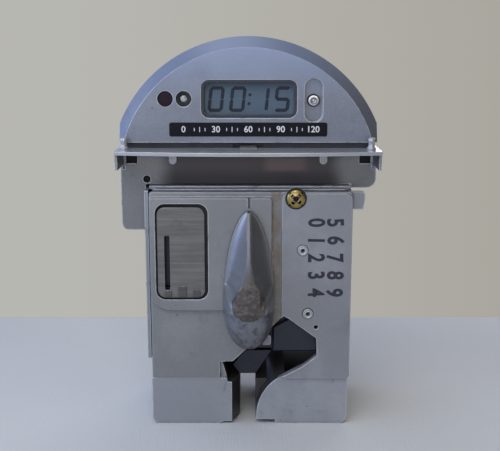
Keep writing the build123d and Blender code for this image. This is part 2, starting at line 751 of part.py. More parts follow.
def battery_holder():
    x0, x1 = cells_left_x - holder_wall, cells_right_x + holder_wall
    y0, y1 = cells_front_y, body_rear_y - 0.6
    z0, z1 = cells_bottom_z - holder_wall - 1, cells_top_z + holder_wall + 1
    tray = box(x0, x1, y0, y1, z0, z1)
    wall = holder_wall
    return tray - box(x0 + wall, x1 - wall, y0 + wall, y1 + 1, z0 + wall, z1 - wall)


cell_y = cells_front_y + holder_wall + cell_radius + 0.2
cell_places = [cells_left_x + 0.2 + cell_radius + cell_pitch * index for index in range(cell_count)]


def battery(x, up):
    low = cells_bottom_z + 1.6
    can = fillet(rod_z(x, cell_y, cell_radius, low, low + cell_length - 1.2).edges(), 0.5)
    if up > 0:
        return can + rod_z(x, cell_y, 2.7, low + cell_length - 1.2, low + cell_length)
    return Pos(0, 0, 1.2) * can + rod_z(x, cell_y, 2.7, low, low + 1.2)


save("batteries", *[battery(x, (-1) ** index) for index, x in enumerate(cell_places)])
contact_low_z = cells_bottom_z - 1
contact_high_z = cells_top_z + 1
contacts = [box(x - 4.5, x + 4.5, cell_y - 4.5, cell_y + 4.5, z, z + 0.5)
            for x in cell_places for z in (contact_low_z, contact_high_z - 0.5)]
save("battery_holder", battery_holder(), *contacts)

# ---- Coin plate, shutter and coin path -----------------------------------------------------------

coin_plate_left_x = plate_recess_left_x + coin_plate_gap
coin_plate_right_x = plate_recess_right_x - coin_plate_gap - 0.9
coin_plate_bottom_z = plate_recess_bottom_z + coin_plate_gap
coin_plate_top_z = plate_recess_top_z - coin_plate_top_gap
gasket_depth = 0.6
coin_face_y = -gasket_depth - coin_plate_thickness


def coin_plate():
    face = rounded(coin_plate_left_x, coin_plate_right_x, coin_plate_bottom_z, coin_plate_top_z,
                   plate_recess_radius - coin_plate_gap)
    plate = rounded_front(slab(face, coin_face_y, -gasket_depth), 0.5)
    slot_half = coin_slot_width / 2
    plate -= slab(rounded(coin_slot_x - slot_half, coin_slot_x + slot_half, coin_slot_bottom_z,
                          coin_slot_top_z, 1.0), coin_face_y - 1, 0)
    relief = 0.5
    low = coin_plate_bottom_z + 0.6
    for x, half, height in ((coin_slot_x + 0.2, 2.1, 4.0), (-38.9, 2.5, 6.6), (-30.6, 2.2, 4.4)):
        button = slab(rounded(x - half, x + half, low, low + height, 0.8), coin_face_y - relief, coin_face_y)
        plate += rounded_front(button, 0.25)
    return plate


def coin_plate_gasket():
    sheet = slab(rounded(plate_recess_left_x + 0.1, plate_recess_right_x - 0.1, plate_recess_bottom_z + 0.1,
                         plate_recess_top_z - 0.1, plate_recess_radius - 0.1), -gasket_depth, 0)
    return sheet - slab(coin_window, -gasket_depth - 1, 1)


save("coin_plate", coin_plate())
save("coin_plate_gasket", coin_plate_gasket())

track_wall = 1.5
track_half = 2.3
track_front_y = cover_wall + cover_gap
track_rear_y = train_rear_y - 0.5
track_top_z = coin_slot_top_z + 3.6
rotor_width_front_y = frame_y + frame_plate + 2.0
rotor_width_rear_y = track_rear_y - track_wall - 0.5
paddle_length = rotor_reach + 0.6
rail_bottom_z = rotor_z + paddle_length + 0.6
shutter_pin_y = 5.6
shutter_pin_z = coin_slot_top_z + 0.6
pin_radius = 0.8
knuckle_radius = 1.7


def coin_track():
    x0, x1 = coin_slot_x - track_half, coin_slot_x + track_half
    outer = box(x0 - track_wall, x1 + track_wall, track_front_y, track_rear_y,
                coin_slot_bottom_z - track_wall, track_top_z + track_wall)
    outer -= box(x0, x1, track_front_y - 1, track_rear_y - track_wall, coin_slot_bottom_z, track_top_z)
    drop_y = rotor_width_front_y - 1
    outer -= box(x0, x1 + 2, drop_y, track_rear_y - track_wall, coin_slot_bottom_z - 3,
                 coin_slot_bottom_z + 1)
    outer -= box(x1 - 0.1, x1 + 2, drop_y, track_rear_y + 1, coin_slot_bottom_z - 3, rail_bottom_z)
    outer -= rod_x(shutter_pin_y, shutter_pin_z, pin_radius, x0 - 3, x1 + 3)
    return outer


def slot_shutter():
    half = track_half - 0.4
    flap = box(coin_slot_x - half, coin_slot_x + half, shutter_pin_y - 0.5, shutter_pin_y + 0.5,
               coin_slot_bottom_z + 0.6, shutter_pin_z)
    flap += rod_x(shutter_pin_y, shutter_pin_z, knuckle_radius, coin_slot_x - half, coin_slot_x + half)
    return flap - rod_x(shutter_pin_y, shutter_pin_z, pin_radius + running, coin_slot_x - 5, coin_slot_x + 5)


save("coin_track", coin_track())
save("slot_shutter", slot_shutter())
pin_half = track_half + track_wall + 0.6
save("shutter_pin",
     rod_x(shutter_pin_y, shutter_pin_z, pin_radius, coin_slot_x - pin_half, coin_slot_x + pin_half))

# Coin rotor: three paddles on a hub, turned by the handle through a gear pair
rotor_hub = 4.0
rotor_shaft_radius = 2.0
paddle_count = 3
mesh_angle = atan2(rotor_z - handle_z, rotor_x - handle_x)


def coin_rotor():
    rotor = rod_y(rotor_x, rotor_z, rotor_hub, rotor_width_front_y, rotor_width_rear_y)
    for index in range(paddle_count):
        paddle = box(0, paddle_length, rotor_width_front_y, rotor_width_rear_y, -0.9, 0.9)
        rotor += Pos(rotor_x, 0, rotor_z) * Rot(0, 180 + 360 / paddle_count * index, 0) * paddle
    return rotor - rod_y(rotor_x, rotor_z, rotor_shaft_radius, 0, body_rear_y)


def rotor_gear():
    tooth = mesh_angle + pi + pi / rotor_teeth
    gear = slab(gear_outline(rotor_teeth, tooth), gear_y, gear_y + gear_width)
    return Pos(rotor_x, 0, rotor_z) * gear - rod_y(rotor_x, rotor_z, rotor_shaft_radius, 0, body_rear_y)


def drive_gear():
    gear = slab(gear_outline(drive_teeth, mesh_angle), gear_y, gear_y + gear_width)
    for index in range(5):
        angle = 2 * pi * index / 5
        gear -= rod_y(13 * cos(angle), 13 * sin(angle), 3.6, gear_y - 1, gear_y + gear_width + 1)
    return Pos(handle_x, 0, handle_z) * gear - rod_y(handle_x, handle_z, shaft_radius, 0, body_rear_y)


save("coin_rotor", coin_rotor())
save("rotor_gear", rotor_gear())
save("rotor_shaft", rod_y(rotor_x, rotor_z, rotor_shaft_radius, frame_y - 1.5, gear_y + gear_width + 0.2))
save("drive_gear", drive_gear())

# Chute under the rotor, funnel over the gap between the legs
chute_wall = 1.6
chute_start_x = coin_slot_x - 2.0
chute_start_z = rotor_z - paddle_length - 4.0
chute_end_x = -10.2
chute_end_z = 34.6
chute_angle = degrees(atan2(chute_start_z - chute_end_z, chute_end_x - chute_start_x))
chute_length = sqrt((chute_end_x - chute_start_x) ** 2 + (chute_start_z - chute_end_z) ** 2)
chute_front_y = frame_y + frame_plate + 0.6
chute_rear_y = train_rear_y - 0.6
chute_space = 6.5


def on_chute(shape):
    """Lays a shape drawn along +X from the origin onto the chute's slope."""
    return Pos(chute_start_x, 0, chute_start_z) * Rot(0, chute_angle, 0) * shape


def chute_lower():
    floor = box(0, chute_length, chute_front_y, chute_rear_y, -chute_wall, 0)
    for y in (chute_front_y, chute_rear_y - chute_wall):
        floor += box(0, chute_length, y, y + chute_wall, 0, chute_space)
    return on_chute(floor)


def chute_upper():
    start = chute_length * 0.5
    return on_chute(box(start, chute_length + 3, chute_front_y, chute_rear_y, chute_space + 0.1,
                        chute_space + 0.1 + chute_wall))


funnel_top_z = 42.4
funnel_bottom_z = 27.4
funnel_front_y = 14.6
funnel_rear_y = 58.0


def coin_funnel():
    outer = outline((-9.5, funnel_bottom_z + 5.6), (gap_left_x, funnel_bottom_z),
                    (gap_right_x, funnel_bottom_z), (14.2, funnel_top_z), (-2.0, funnel_top_z))
    inner = outline((-9.5 + 1.8, funnel_bottom_z + 6.0), (gap_left_x + 1.6, funnel_bottom_z - 1),
                    (gap_right_x - 1.6, funnel_bottom_z - 1), (gap_right_x - 1.6, funnel_bottom_z + 2.2),
                    (12.2, funnel_top_z + 1), (-0.5, funnel_top_z + 1))
    funnel = slab(outer, funnel_front_y, funnel_rear_y)
    funnel -= slab(inner, funnel_front_y + 1.5, funnel_rear_y - 1.5)
    entry = outline((-14, funnel_bottom_z + 7), (-4, funnel_bottom_z + 7), (4, funnel_top_z - 1.5),
                    (-14, funnel_top_z - 1.5))
    return funnel - slab(entry, chute_front_y - 0.4, chute_rear_y + 0.4)


save("coin_chute", chute_lower(), chute_upper())
save("coin_funnel", coin_funnel())
coil_at = chute_length * 0.66
coil = Pos(coil_at, 36, -chute_wall - 1.6) * (Cylinder(9, 3.0) - Cylinder(4, 4))
save("coin_sensor_coil", on_chute(coil))

# Black housing seen through the shaped opening, with a grey post beside it
housing_y0, housing_y1 = 5.6, 14.6


def sensor_housing():
    points = [(14.6, 44.8), (14.6, 60.4), (26.2, 67.0), (28.5, 67.0), (44.5, 56.0), (44.5, 44.8)]
    block = slab(outline(*points), housing_y0, housing_y1)
    rim = [(6.0, 47.0), (6.0, 62.5), (20.5, 72.0), (26.2, 70.5), (28.5, 67.0), (26.2, 67.0), (14.6, 60.4),
           (14.6, 47.0)]
    block += slab(outline(*rim), housing_y0 + 4.0, housing_y1)
    edges = block.faces().sort_by(Axis.Y)[0].edges()
    return chamfer(edges, 1.0)


save("sensor_housing", sensor_housing())
post = box(8.2, 13.6, 4.4, housing_y0 + 4.0, 49.6, 55.6)
save("guide_post", fillet(post.edges().filter_by(Axis.Y), 1.2))

# ---- Internal frame plates -----------------------------------------------------------------------

frame_bottom_z = 44.0
frame_left_x = -body_half_width + frame_wall + 0.4
frame_right_x = body_half_width - 0.3 - frame_wall - 0.4


def frame_plate_front():
    plate = box(frame_left_x, frame_right_x, frame_y, frame_y + frame_plate, frame_bottom_z, body_height - 3)
    plate -= rod_y(handle_x, handle_z, shaft_radius + running, 0, 30)
    plate -= rod_y(rotor_x, rotor_z, rotor_shaft_radius + running, 0, 30)
    clear = track_half + track_wall + part_gap
    return plate - box(coin_slot_x - clear, coin_slot_x + clear, frame_y - 1, frame_y + frame_plate + 1,
                       coin_slot_bottom_z - track_wall - part_gap, track_top_z + track_wall + part_gap)


def bearing_plate():
    rear_y = train_rear_y + bearing_thickness
    plate = box(frame_left_x, handle_x + 10, train_rear_y, rear_y, frame_bottom_z + 18, track_top_z + 4)
    plate -= rod_y(handle_x, handle_z, shaft_radius + running, train_rear_y - 1, rear_y + 1)
    return plate - rod_y(rotor_x, rotor_z, rotor_shaft_radius + running, train_rear_y - 1, rear_y + 1)


save("mechanism_frame", frame_plate_front())
save("bearing_plate", bearing_plate())
standoff_places = [(frame_left_x + 4, body_height - 8.5), (frame_left_x + 4, 66.0), (rotor_x + 12, 122.0)]

# ---- Handle, shaft, spring, switch ---------------------------------------------------------------


def twist_handle():
    """A leaf-shaped grip: a narrow ridge with hollowed sides that rises to a blunt nose below its middle."""
    half = handle_length / 2
    stations = [(1.0, 1.2, 2.2, 0.9), (0.86, 5.4, 6.5, 1.4), (0.6, 10.4, 12.5, 1.7), (0.3, 13.9, 18.5, 2.1),
                (0.06, 15.1, 22.8, 2.9), (-0.05, 15.2, handle_rise, 5.6),
                (-0.22, 14.6, handle_rise - 1.0, 6.2), (-0.4, 12.9, 19.5, 4.4), (-0.62, 10.1, 14.0, 4.2),
                (-0.86, 5.4, 7.5, 2.6), (-1.0, 1.2, 3.0, 0.9)]
    sections = []
    for share, width, rise, ridge in stations:
        width *= handle_width / 30.4
        side = 2.0 if rise > 3 else 1.2
        waist = (width + ridge) / 2 * 0.86
        points = [(-width, 0), (-width, -side), (-waist, -side - (rise - side) * 0.3), (-ridge, -rise),
                  (ridge, -rise), (waist, -side - (rise - side) * 0.3), (width, -side), (width, 0)]
        face = make_face(Polyline(*points, close=True))
        sections.append(Pos(handle_x, handle_base_y, handle_z + share * half) * face)
    grip = loft(sections, ruled=True)
    grip -= rod_y(handle_x, handle_z, shaft_radius, handle_base_y - 12, handle_base_y)
    return grip - rod_x(handle_base_y - 6, handle_z, 1.0, handle_x - 9, handle_x + 9)


save("twist_handle", twist_handle())
save("handle_pin", rod_x(handle_base_y - 6, handle_z, 0.98, handle_x - 8, handle_x + 8))
clip_y = frame_y + frame_plate + 0.3
shaft_rear_y = gear_y + gear_width + 0.2
clip_width = 1.0
shaft = rod_y(handle_x, handle_z, shaft_radius, handle_base_y - 11.8, shaft_rear_y)
shaft -= rod_x(handle_base_y - 6, handle_z, 1.0, handle_x - 9, handle_x + 9)
groove = rod_y(handle_x, handle_z, shaft_radius + 1, clip_y, clip_y + clip_width)
shaft -= groove - rod_y(handle_x, handle_z, shaft_radius - 0.8, clip_y, clip_y + clip_width)
save("handle_shaft", shaft)
clip = rod_y(handle_x, handle_z, shaft_radius + 2.2, clip_y + 0.1, clip_y + clip_width - 0.1)
clip -= rod_y(handle_x, handle_z, shaft_radius - 0.8, clip_y, clip_y + clip_width)
clip -= box(handle_x - 2.4, handle_x + 2.4, clip_y, clip_y + clip_width, handle_z - 9, handle_z)
save("shaft_clip", clip)
bushing_flange = 2.0
bushing = rod_y(handle_x, handle_z, bushing_radius - running, pad_y, cover_wall + bushing_flange)
bushing += rod_y(handle_x, handle_z, bushing_radius + 2.5, cover_wall, cover_wall + bushing_flange)
save("shaft_bushing", bushing - rod_y(handle_x, handle_z, shaft_radius + running, pad_y - 1, 10))

spring_y = cover_wall + bushing_flange + 0.7
spring_radius = 7.6
wire_radius = 0.4


def return_spring():
    """A torsion spring round the shaft, with one straight leg at each end."""
    turns, pitch = 2.5, 1.0
    path = Helix(pitch=pitch, height=pitch * turns, radius=spring_radius)
    start = path @ 0
    coil = sweep(Plane(origin=start, z_dir=path % 0) * Circle(wire_radius), path=path)
    leg_out = Plane(origin=start, z_dir=-(path % 0))
    leg_in = Plane(origin=path @ 1, z_dir=path % 1)
    coil += extrude(leg_out * Circle(wire_radius), amount=7)
    coil += extrude(leg_in * Circle(wire_radius), amount=7)
    return Pos(handle_x, spring_y + wire_radius, handle_z) * Rot(-90, 0, 0) * coil


save("return_spring", return_spring())

cam_y = 10.2
cam_width = 2.6
cam_low = 8.0
follower_gap = 0.35


def cam_radius(angle):
    """The cam's radius at an angle in degrees, counted anticlockwise seen from the front."""
    share = (angle - 90) / handle_travel
    if share < -0.1:
        return cam_low
    return cam_low + switch_travel * min(share, 1.25)


def wake_cam():
    """A cam whose radius grows evenly with the handle's turn."""
    count = 16
    first, last = 78.0, 90 + handle_travel + 18
    rise = [(cam_radius(first + (last - first) * k / count), first + (last - first) * k / count)
            for k in range(count + 1)]
    curve = Spline(*[(r * cos(radians(a)), r * sin(radians(a))) for r, a in rise])
    r_high, r_low = rise[-1][0], rise[0][0]
    a0, a1 = radians(rise[-1][1]), radians(rise[0][1] + 360)
    middle = (a0 + a1) / 2
    back = ThreePointArc((r_high * cos(a0), r_high * sin(a0)), (cam_low * cos(middle), cam_low * sin(middle)),
                         (r_low * cos(a1), r_low * sin(a1)))
    cam = Pos(handle_x, 0, handle_z) * slab(make_face(Curve() + [curve, back]), cam_y, cam_y + cam_width)
    return cam - rod_y(handle_x, handle_z, shaft_radius, cam_y - 1, cam_y + cam_width + 1)


save("wake_cam", wake_cam())
plunger_low_z = handle_z + cam_low + follower_gap
switch_low_z = plunger_low_z + switch_travel + 3.0
switch_y0, switch_y1 = cam_y - 1.4, frame_y
plunger_radius = 1.2
plunger_y = cam_y + cam_width / 2
plunger = rod_z(handle_x, plunger_y, plunger_radius, plunger_low_z + 1.2, switch_low_z + 4)
plunger += Pos(handle_x, plunger_y, plunger_low_z + 1.2) * Sphere(plunger_radius)
save("switch_plunger", plunger)
switch = box(handle_x - 7, handle_x + 7, switch_y0, switch_y1, switch_low_z, switch_low_z + 12)
plunger_bore_top_z = switch_low_z + 4.6 + switch_travel
switch -= rod_z(handle_x, plunger_y, plunger_radius + running, switch_low_z - 1, plunger_bore_top_z)
save("wake_switch", switch)

# ---- Control board and ribbon --------------------------------------------------------------------

board2_y = 33.0
board_left_x = rotor_x + 20
board_right_x = frame_right_x - 2
board_low_z = 74.0
board_high_z = body_height - 6
board_step_x = handle_x + shaft_radius + 6
board_step_z = handle_z + shaft_radius + 14


def control_board():
    board = box(board_left_x, board_right_x, board2_y, board2_y + board_thickness, board_step_z, board_high_z)
    return board + box(board_step_x, board_right_x, board2_y, board2_y + board_thickness, board_low_z,
                       board_step_z)


chip_height = 2.6
chips = [(14, 22, 98, 108), (26, 44, 92, 106), (24, 34, 114, 120), (-4, 8, 118, 128), (24, 36, 79, 84)]
save("control_board", control_board(),
     *[box(x0, x1, board2_y - chip_height, board2_y, z0, z1) for x0, x1, z0, z1 in chips])
board_posts = [(board_left_x + 3.5, board_step_z + 3.5), (board_right_x - 3.5, board_high_z - 3.5),
               (board_step_x + 3.5, board_low_z + 3.5), (board_right_x - 3.5, board_low_z + 3.5)]
save("standoffs", *[rod_y(x, z, 2.4, frame_y + frame_plate, train_rear_y) for x, z in standoff_places],
     *[rod_y(x, z, 3.0, frame_y + frame_plate, board2_y) for x, z in board_posts])


def ribbon_cable():
    """A flat ribbon from the display board down through the shelf and the deck to the control board."""
    top_y = board_y + 5.0
    run = Polyline((top_y, head_bottom_z + 15), (top_y + 3, head_bottom_z + 15), (top_y + 5, shelf_top_z),
                   (29.5, shelf_bottom_z - 4), (31.0, deck_top_z), (31.0, board_high_z - 4))
    band = trace(run, 0.8)
    band_half_width = ribbon_half_width - 1.0
    return Pos(-band_half_width, 0, 0) * extrude(Plane.YZ * band, amount=2 * band_half_width)


save("ribbon_cable", ribbon_cable())
print("overall depth", round(overall_rear_y - handle_nose_y, 2), "shift", round(depth_shift, 3))
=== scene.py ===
"""Looks of an electronic parking meter mechanism.

Painted castings, display, coin plate, twist handle and fasteners. Metres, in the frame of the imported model:
+X right seen from the front, +Y to the back, +Z up, floor at z = 0.
"""

import json
import random
from math import cos, pi, radians, sin

import bmesh
import bpy
from mathutils import Matrix, Vector


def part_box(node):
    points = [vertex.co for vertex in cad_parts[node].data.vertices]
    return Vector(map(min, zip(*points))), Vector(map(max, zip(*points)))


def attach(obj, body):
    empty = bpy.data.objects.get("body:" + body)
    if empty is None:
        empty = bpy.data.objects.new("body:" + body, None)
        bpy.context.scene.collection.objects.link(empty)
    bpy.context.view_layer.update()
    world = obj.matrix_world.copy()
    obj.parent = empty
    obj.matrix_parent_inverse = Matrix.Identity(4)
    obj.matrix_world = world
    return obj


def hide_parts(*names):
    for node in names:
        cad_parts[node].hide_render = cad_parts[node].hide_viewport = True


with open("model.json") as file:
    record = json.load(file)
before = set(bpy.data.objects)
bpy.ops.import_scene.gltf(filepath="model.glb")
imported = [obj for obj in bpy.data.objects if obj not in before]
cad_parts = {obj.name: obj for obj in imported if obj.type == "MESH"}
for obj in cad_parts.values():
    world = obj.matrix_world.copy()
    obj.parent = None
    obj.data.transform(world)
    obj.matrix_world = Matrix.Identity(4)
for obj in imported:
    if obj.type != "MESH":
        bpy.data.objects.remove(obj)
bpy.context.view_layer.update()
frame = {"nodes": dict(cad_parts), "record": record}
nodes = frame["nodes"]
scene = bpy.context.scene
mm = 0.001
face_front = Matrix.Rotation(radians(90), 4, "X")


# ---- Camera, floor and light -------------------------------------------------------------------------------


def make_camera():
    camera = bpy.data.objects.new("camera", bpy.data.cameras.new("camera"))
    camera.data.sensor_width = 36.0
    camera.data.lens = 64.0
    camera.data.clip_start = 0.02
    camera.location = (0.001, -0.5276, 0.2327)
    camera.rotation_euler = (radians(78.0), 0, 0)
    scene.collection.objects.link(camera)
    scene.camera = camera


def make_floor():
    """A pale cloth-covered table top whose far edge rolls over behind the mechanism."""
    half_size = 1.6
    far_edge = 0.19
    roll = 0.02
    bm = bmesh.new()
    bmesh.ops.create_grid(bm, x_segments=2, y_segments=2, size=half_size)
    bmesh.ops.translate(bm, verts=bm.verts, vec=(0, far_edge - half_size, 0))
    rear = [edge for edge in bm.edges if all(abs(v.co.y - far_edge) < 1e-6 for v in edge.verts)]
    bmesh.ops.spin(bm, geom=rear, cent=(0, far_edge, -roll), axis=(1, 0, 0), angle=-radians(90), steps=10)
    mesh = bpy.data.meshes.new("floor")
    bmesh.ops.recalc_face_normals(bm, faces=bm.faces)
    bm.to_mesh(mesh)
    bm.free()
    mesh.shade_smooth()
    mesh.materials.append(pale_cloth())
    floor = bpy.data.objects.new("floor", mesh)
    scene.collection.objects.link(floor)


def make_light(name, place, target, width, height, power, colour):
    lamp = bpy.data.lights.new(name, "AREA")
    lamp.shape = "RECTANGLE"
    lamp.size = width
    lamp.size_y = height
    lamp.energy = power
    lamp.color = colour
    light = bpy.data.objects.new(name, lamp)
    light.location = place
    light.rotation_euler = (Vector(target) - Vector(place)).to_track_quat("-Z", "Y").to_euler()
    scene.collection.objects.link(light)


def make_lights():
    middle = (0, 0, 0.12)
    ceiling_white = (1.0, 0.985, 0.96)
    make_light("window_left", (-0.95, -0.45, 0.65), middle, 0.7, 0.8, 4.0, (0.72, 0.84, 1.0))
    make_light("ceiling", (-0.05, -0.05, 1.3), middle, 1.2, 0.5, 2.0, ceiling_white)
    make_light("ceiling_front", (-0.2, -0.9, 1.2), middle, 0.9, 0.6, 7.0, ceiling_white)
    make_light("front_fill", (-0.1, -1.7, 0.42), (0, 0, 0.02), 1.2, 0.4, 5.5, (1.0, 0.99, 0.98))
    make_light("rear_fill", (0.5, 1.3, 0.6), middle, 1.0, 0.8, 5.0, (1.0, 0.98, 0.95))
    scene.world = make_room()
    scene.view_settings.view_transform = "Standard"


def make_room():
    """The room that the metal mirrors: a bright bluish window side, a dark far side and a pale ceiling."""
    world = bpy.data.worlds.new("room")
    world.use_nodes = True
    tree = world.node_tree

    def share(value, low, high):
        """0 at low, 1 at high."""
        node = tree.nodes.new("ShaderNodeMapRange")
        node.inputs["From Min"].default_value = low
        node.inputs["From Max"].default_value = high
        tree.links.new(value, node.inputs["Value"])
        return node.outputs["Result"]

    def mixed(first, second, amount):
        """The first colour where the amount is 0, the second where it is 1."""
        node = tree.nodes.new("ShaderNodeMix")
        node.data_type = "RGBA"
        for socket, colour in (("A", first), ("B", second)):
            if isinstance(colour, tuple):
                node.inputs[socket].default_value = (*colour, 1)
            else:
                tree.links.new(colour, node.inputs[socket])
        tree.links.new(amount, node.inputs["Factor"])
        return node.outputs["Result"]

    direction = tree.nodes.new("ShaderNodeTexCoord")
    split = tree.nodes.new("ShaderNodeSeparateXYZ")
    tree.links.new(direction.outputs["Generated"], split.inputs["Vector"])
    across, up = split.outputs["X"], split.outputs["Z"]
    sides = tree.nodes.new("ShaderNodeValToRGB")
    window_side, far_side = sides.color_ramp.elements[0], sides.color_ramp.elements[1]
    window_side.color = (0.60, 0.82, 1.50, 1)
    far_side.color = (0.07, 0.06, 0.05, 1)
    front = sides.color_ramp.elements.new(0.5)
    front.color = (0.27, 0.27, 0.28, 1)
    tree.links.new(share(across, -0.8, 0.8), sides.inputs["Fac"])
    mirrored = mixed(sides.outputs["Color"], (0.20, 0.20, 0.21), share(up, 0.35, 0.95))
    backdrop = mixed((0.475, 0.472, 0.44), (0.40, 0.385, 0.345), share(across, -0.2, 0.27))
    path = tree.nodes.new("ShaderNodeLightPath")
    seen = mixed(mirrored, backdrop, path.outputs["Is Camera Ray"])
    tree.links.new(seen, tree.nodes["Background"].inputs["Color"])
    return world


# ---- Finishes ----------------------------------------------------------------------------------------------


class Finish:
    """One material, with short ways to lay patterns on it. Patterns are in object coordinates, in metres."""

    def __init__(self, name, colour, roughness, metallic=0.0, **constants):
        self.material = bpy.data.materials.new(name)
        self.material.use_nodes = True
        self.tree = self.material.node_tree
        self.shader = self.tree.nodes["Principled BSDF"]
        self.shader.inputs["Base Color"].default_value = (*colour, 1)
        self.shader.inputs["Roughness"].default_value = roughness
        self.shader.inputs["Metallic"].default_value = metallic
        for socket, value in constants.items():
            self.shader.inputs[socket.replace("_", " ")].default_value = value
        self.places = self.add("ShaderNodeTexCoord").outputs["Object"]
        self.colour = colour
        self.material.diffuse_color = (*colour, 1)

    def add(self, kind, **settings):
        node = self.tree.nodes.new(kind)
        for key, value in settings.items():
            setattr(node, key, value)
        return node

    def join(self, source, target):
        self.tree.links.new(source, target)

    def stretched(self, scale):
        mapping = self.add("ShaderNodeMapping")
        mapping.inputs["Scale"].default_value = scale
        self.join(self.places, mapping.inputs["Vector"])
        return mapping.outputs["Vector"]

    def noise(self, scale, detail=3.0, rough=0.5, stretch=None):
        node = self.add("ShaderNodeTexNoise")
        node.inputs["Scale"].default_value = scale
        node.inputs["Detail"].default_value = detail
        node.inputs["Roughness"].default_value = rough
        self.join(self.stretched(stretch) if stretch else self.places, node.inputs["Vector"])
        return node.outputs["Fac"]

    def cells(self, scale):
        node = self.add("ShaderNodeTexVoronoi")
        node.inputs["Scale"].default_value = scale
        self.join(self.places, node.inputs["Vector"])
        return node.outputs["Distance"]

    def attribute(self, name):
        return self.add("ShaderNodeAttribute", attribute_name=name).outputs["Fac"]

    def band(self, value, low, high, flip=False):
        """0 below low, 1 above high, smooth between them, or the other way round."""
        node = self.add("ShaderNodeMapRange", interpolation_type="SMOOTHSTEP")
        node.inputs["From Min"].default_value = low
        node.inputs["From Max"].default_value = high
        node.inputs["To Min"].default_value = 1.0 if flip else 0.0
        node.inputs["To Max"].default_value = 0.0 if flip else 1.0
        self.join(value, node.inputs["Value"])
        return node.outputs["Result"]

    def place(self, axis):
        """Where a point lies along an axis."""
        split = self.add("ShaderNodeSeparateXYZ")
        self.join(self.places, split.inputs["Vector"])
        return split.outputs[axis]

    def height_share(self, low_z, high_z):
        """How far up a point lies between two heights."""
        return self.band(self.place("Z"), low_z, high_z)

    def maths(self, operation, first, second):
        node = self.add("ShaderNodeMath", operation=operation, use_clamp=True)
        for socket, value in zip(node.inputs, (first, second)):
            if isinstance(value, float):
                socket.default_value = value
            else:
                self.join(value, socket)
        return node.outputs["Value"]

    def times(self, first, second):
        return self.maths("MULTIPLY", first, second)

    def creases(self, reach, low=0.35, high=0.85):
        """1 deep in corners and gaps, 0 on open faces."""
        node = self.add("ShaderNodeAmbientOcclusion", samples=6)
        node.inputs["Distance"].default_value = reach
        return self.band(node.outputs["AO"], low, high, flip=True)

    def edges(self, radius, low=0.02, high=0.2):
        """1 on the object's outer and inner edges, 0 on flat faces."""
        bevel = self.add("ShaderNodeBevel", samples=6)
        bevel.inputs["Radius"].default_value = radius
        geometry = self.add("ShaderNodeNewGeometry")
        dot = self.add("ShaderNodeVectorMath", operation="DOT_PRODUCT")
        self.join(bevel.outputs["Normal"], dot.inputs[0])
        self.join(geometry.outputs["Normal"], dot.inputs[1])
        return self.band(self.maths("SUBTRACT", 1.0, dot.outputs["Value"]), low, high)

    def within(self, axis, low, high, blur):
        """1 between two places along an axis, fading out over blur on both sides."""
        place = self.place(axis)
        return self.times(self.band(place, low - blur, low), self.band(place, high, high + blur, flip=True))

    def soft_edges(self, radius):
        """Shades every edge as if it were rounded."""
        bevel = self.add("ShaderNodeBevel", samples=8)
        bevel.inputs["Radius"].default_value = radius
        self.join(bevel.outputs["Normal"], self.shader.inputs["Normal"])
        return self

    def turned_away(self):
        """1 where the surface doesn't face the front."""
        geometry = self.add("ShaderNodeNewGeometry")
        split = self.add("ShaderNodeSeparateXYZ")
        self.join(geometry.outputs["Normal"], split.inputs["Vector"])
        return self.band(split.outputs["Y"], -0.75, -0.45)

    def over(self, mask, colour):
        """Lays a colour, or another pattern's colour, over what is there, where the mask is 1."""
        mix = self.add("ShaderNodeMix", data_type="RGBA")
        base = self.shader.inputs["Base Color"]
        if base.is_linked:
            self.join(base.links[0].from_socket, mix.inputs["A"])
        else:
            mix.inputs["A"].default_value = (*self.colour, 1)
        mix.inputs["B"].default_value = (*colour, 1)
        self.join(mask, mix.inputs["Factor"])
        self.join(mix.outputs["Result"], base)
        return self

    def value_over(self, name, mask, value):
        """Changes one of the shader's values where the mask is 1."""
        socket = self.shader.inputs[name]
        mix = self.add("ShaderNodeMix", data_type="FLOAT")
        if socket.is_linked:
            self.join(socket.links[0].from_socket, mix.inputs["A"])
        else:
            mix.inputs["A"].default_value = socket.default_value
        mix.inputs["B"].default_value = value
        self.join(mask, mix.inputs["Factor"])
        self.join(mix.outputs["Result"], socket)
        return self

    def sheen_over(self, mask, roughness):
        return self.value_over("Roughness", mask, roughness)

    def metal_over(self, mask, metallic):
        return self.value_over("Metallic", mask, metallic)

    def relief(self, height, depth, strength=1.0):
        bump = self.add("ShaderNodeBump")
        bump.inputs["Strength"].default_value = strength
        bump.inputs["Distance"].default_value = depth
        self.join(height, bump.inputs["Height"])
        normal = self.shader.inputs["Normal"]
        if normal.is_linked:
            self.join(normal.links[0].from_socket, bump.inputs["Normal"])
        self.join(bump.outputs["Normal"], normal)
        return self


def pale_cloth():
    cloth = Finish("pale_cloth", (0.59, 0.60, 0.60), 0.9, Specular_IOR_Level=0.1)
    cloth.over(cloth.band(cloth.noise(3.0, 2.0), 0.35, 0.75), (0.54, 0.55, 0.56))
    weave_along = cloth.noise(900.0, 1.0, stretch=(1.0, 0.06, 1.0))
    weave_across = cloth.noise(900.0, 1.0, stretch=(0.06, 1.0, 1.0))
    cloth.relief(weave_along, 0.0003, 0.35)
    cloth.relief(weave_across, 0.0003, 0.35)
    cloth.relief(cloth.noise(7.0, 2.0), 0.01, 0.25)
    return cloth.material


silver = (0.228, 0.236, 0.256)
# Dark colour for dirt, also laid as painted shade in corners and creases.
dirt_and_shade = (0.045, 0.042, 0.042)
bare_metal = (0.42, 0.43, 0.45)
# Light edge colour: paint rubbed through to metal, made lighter as a painted highlight.
rubbed_edge_highlight = (0.62, 0.63, 0.66)
rust_stain = (0.16, 0.12, 0.085)


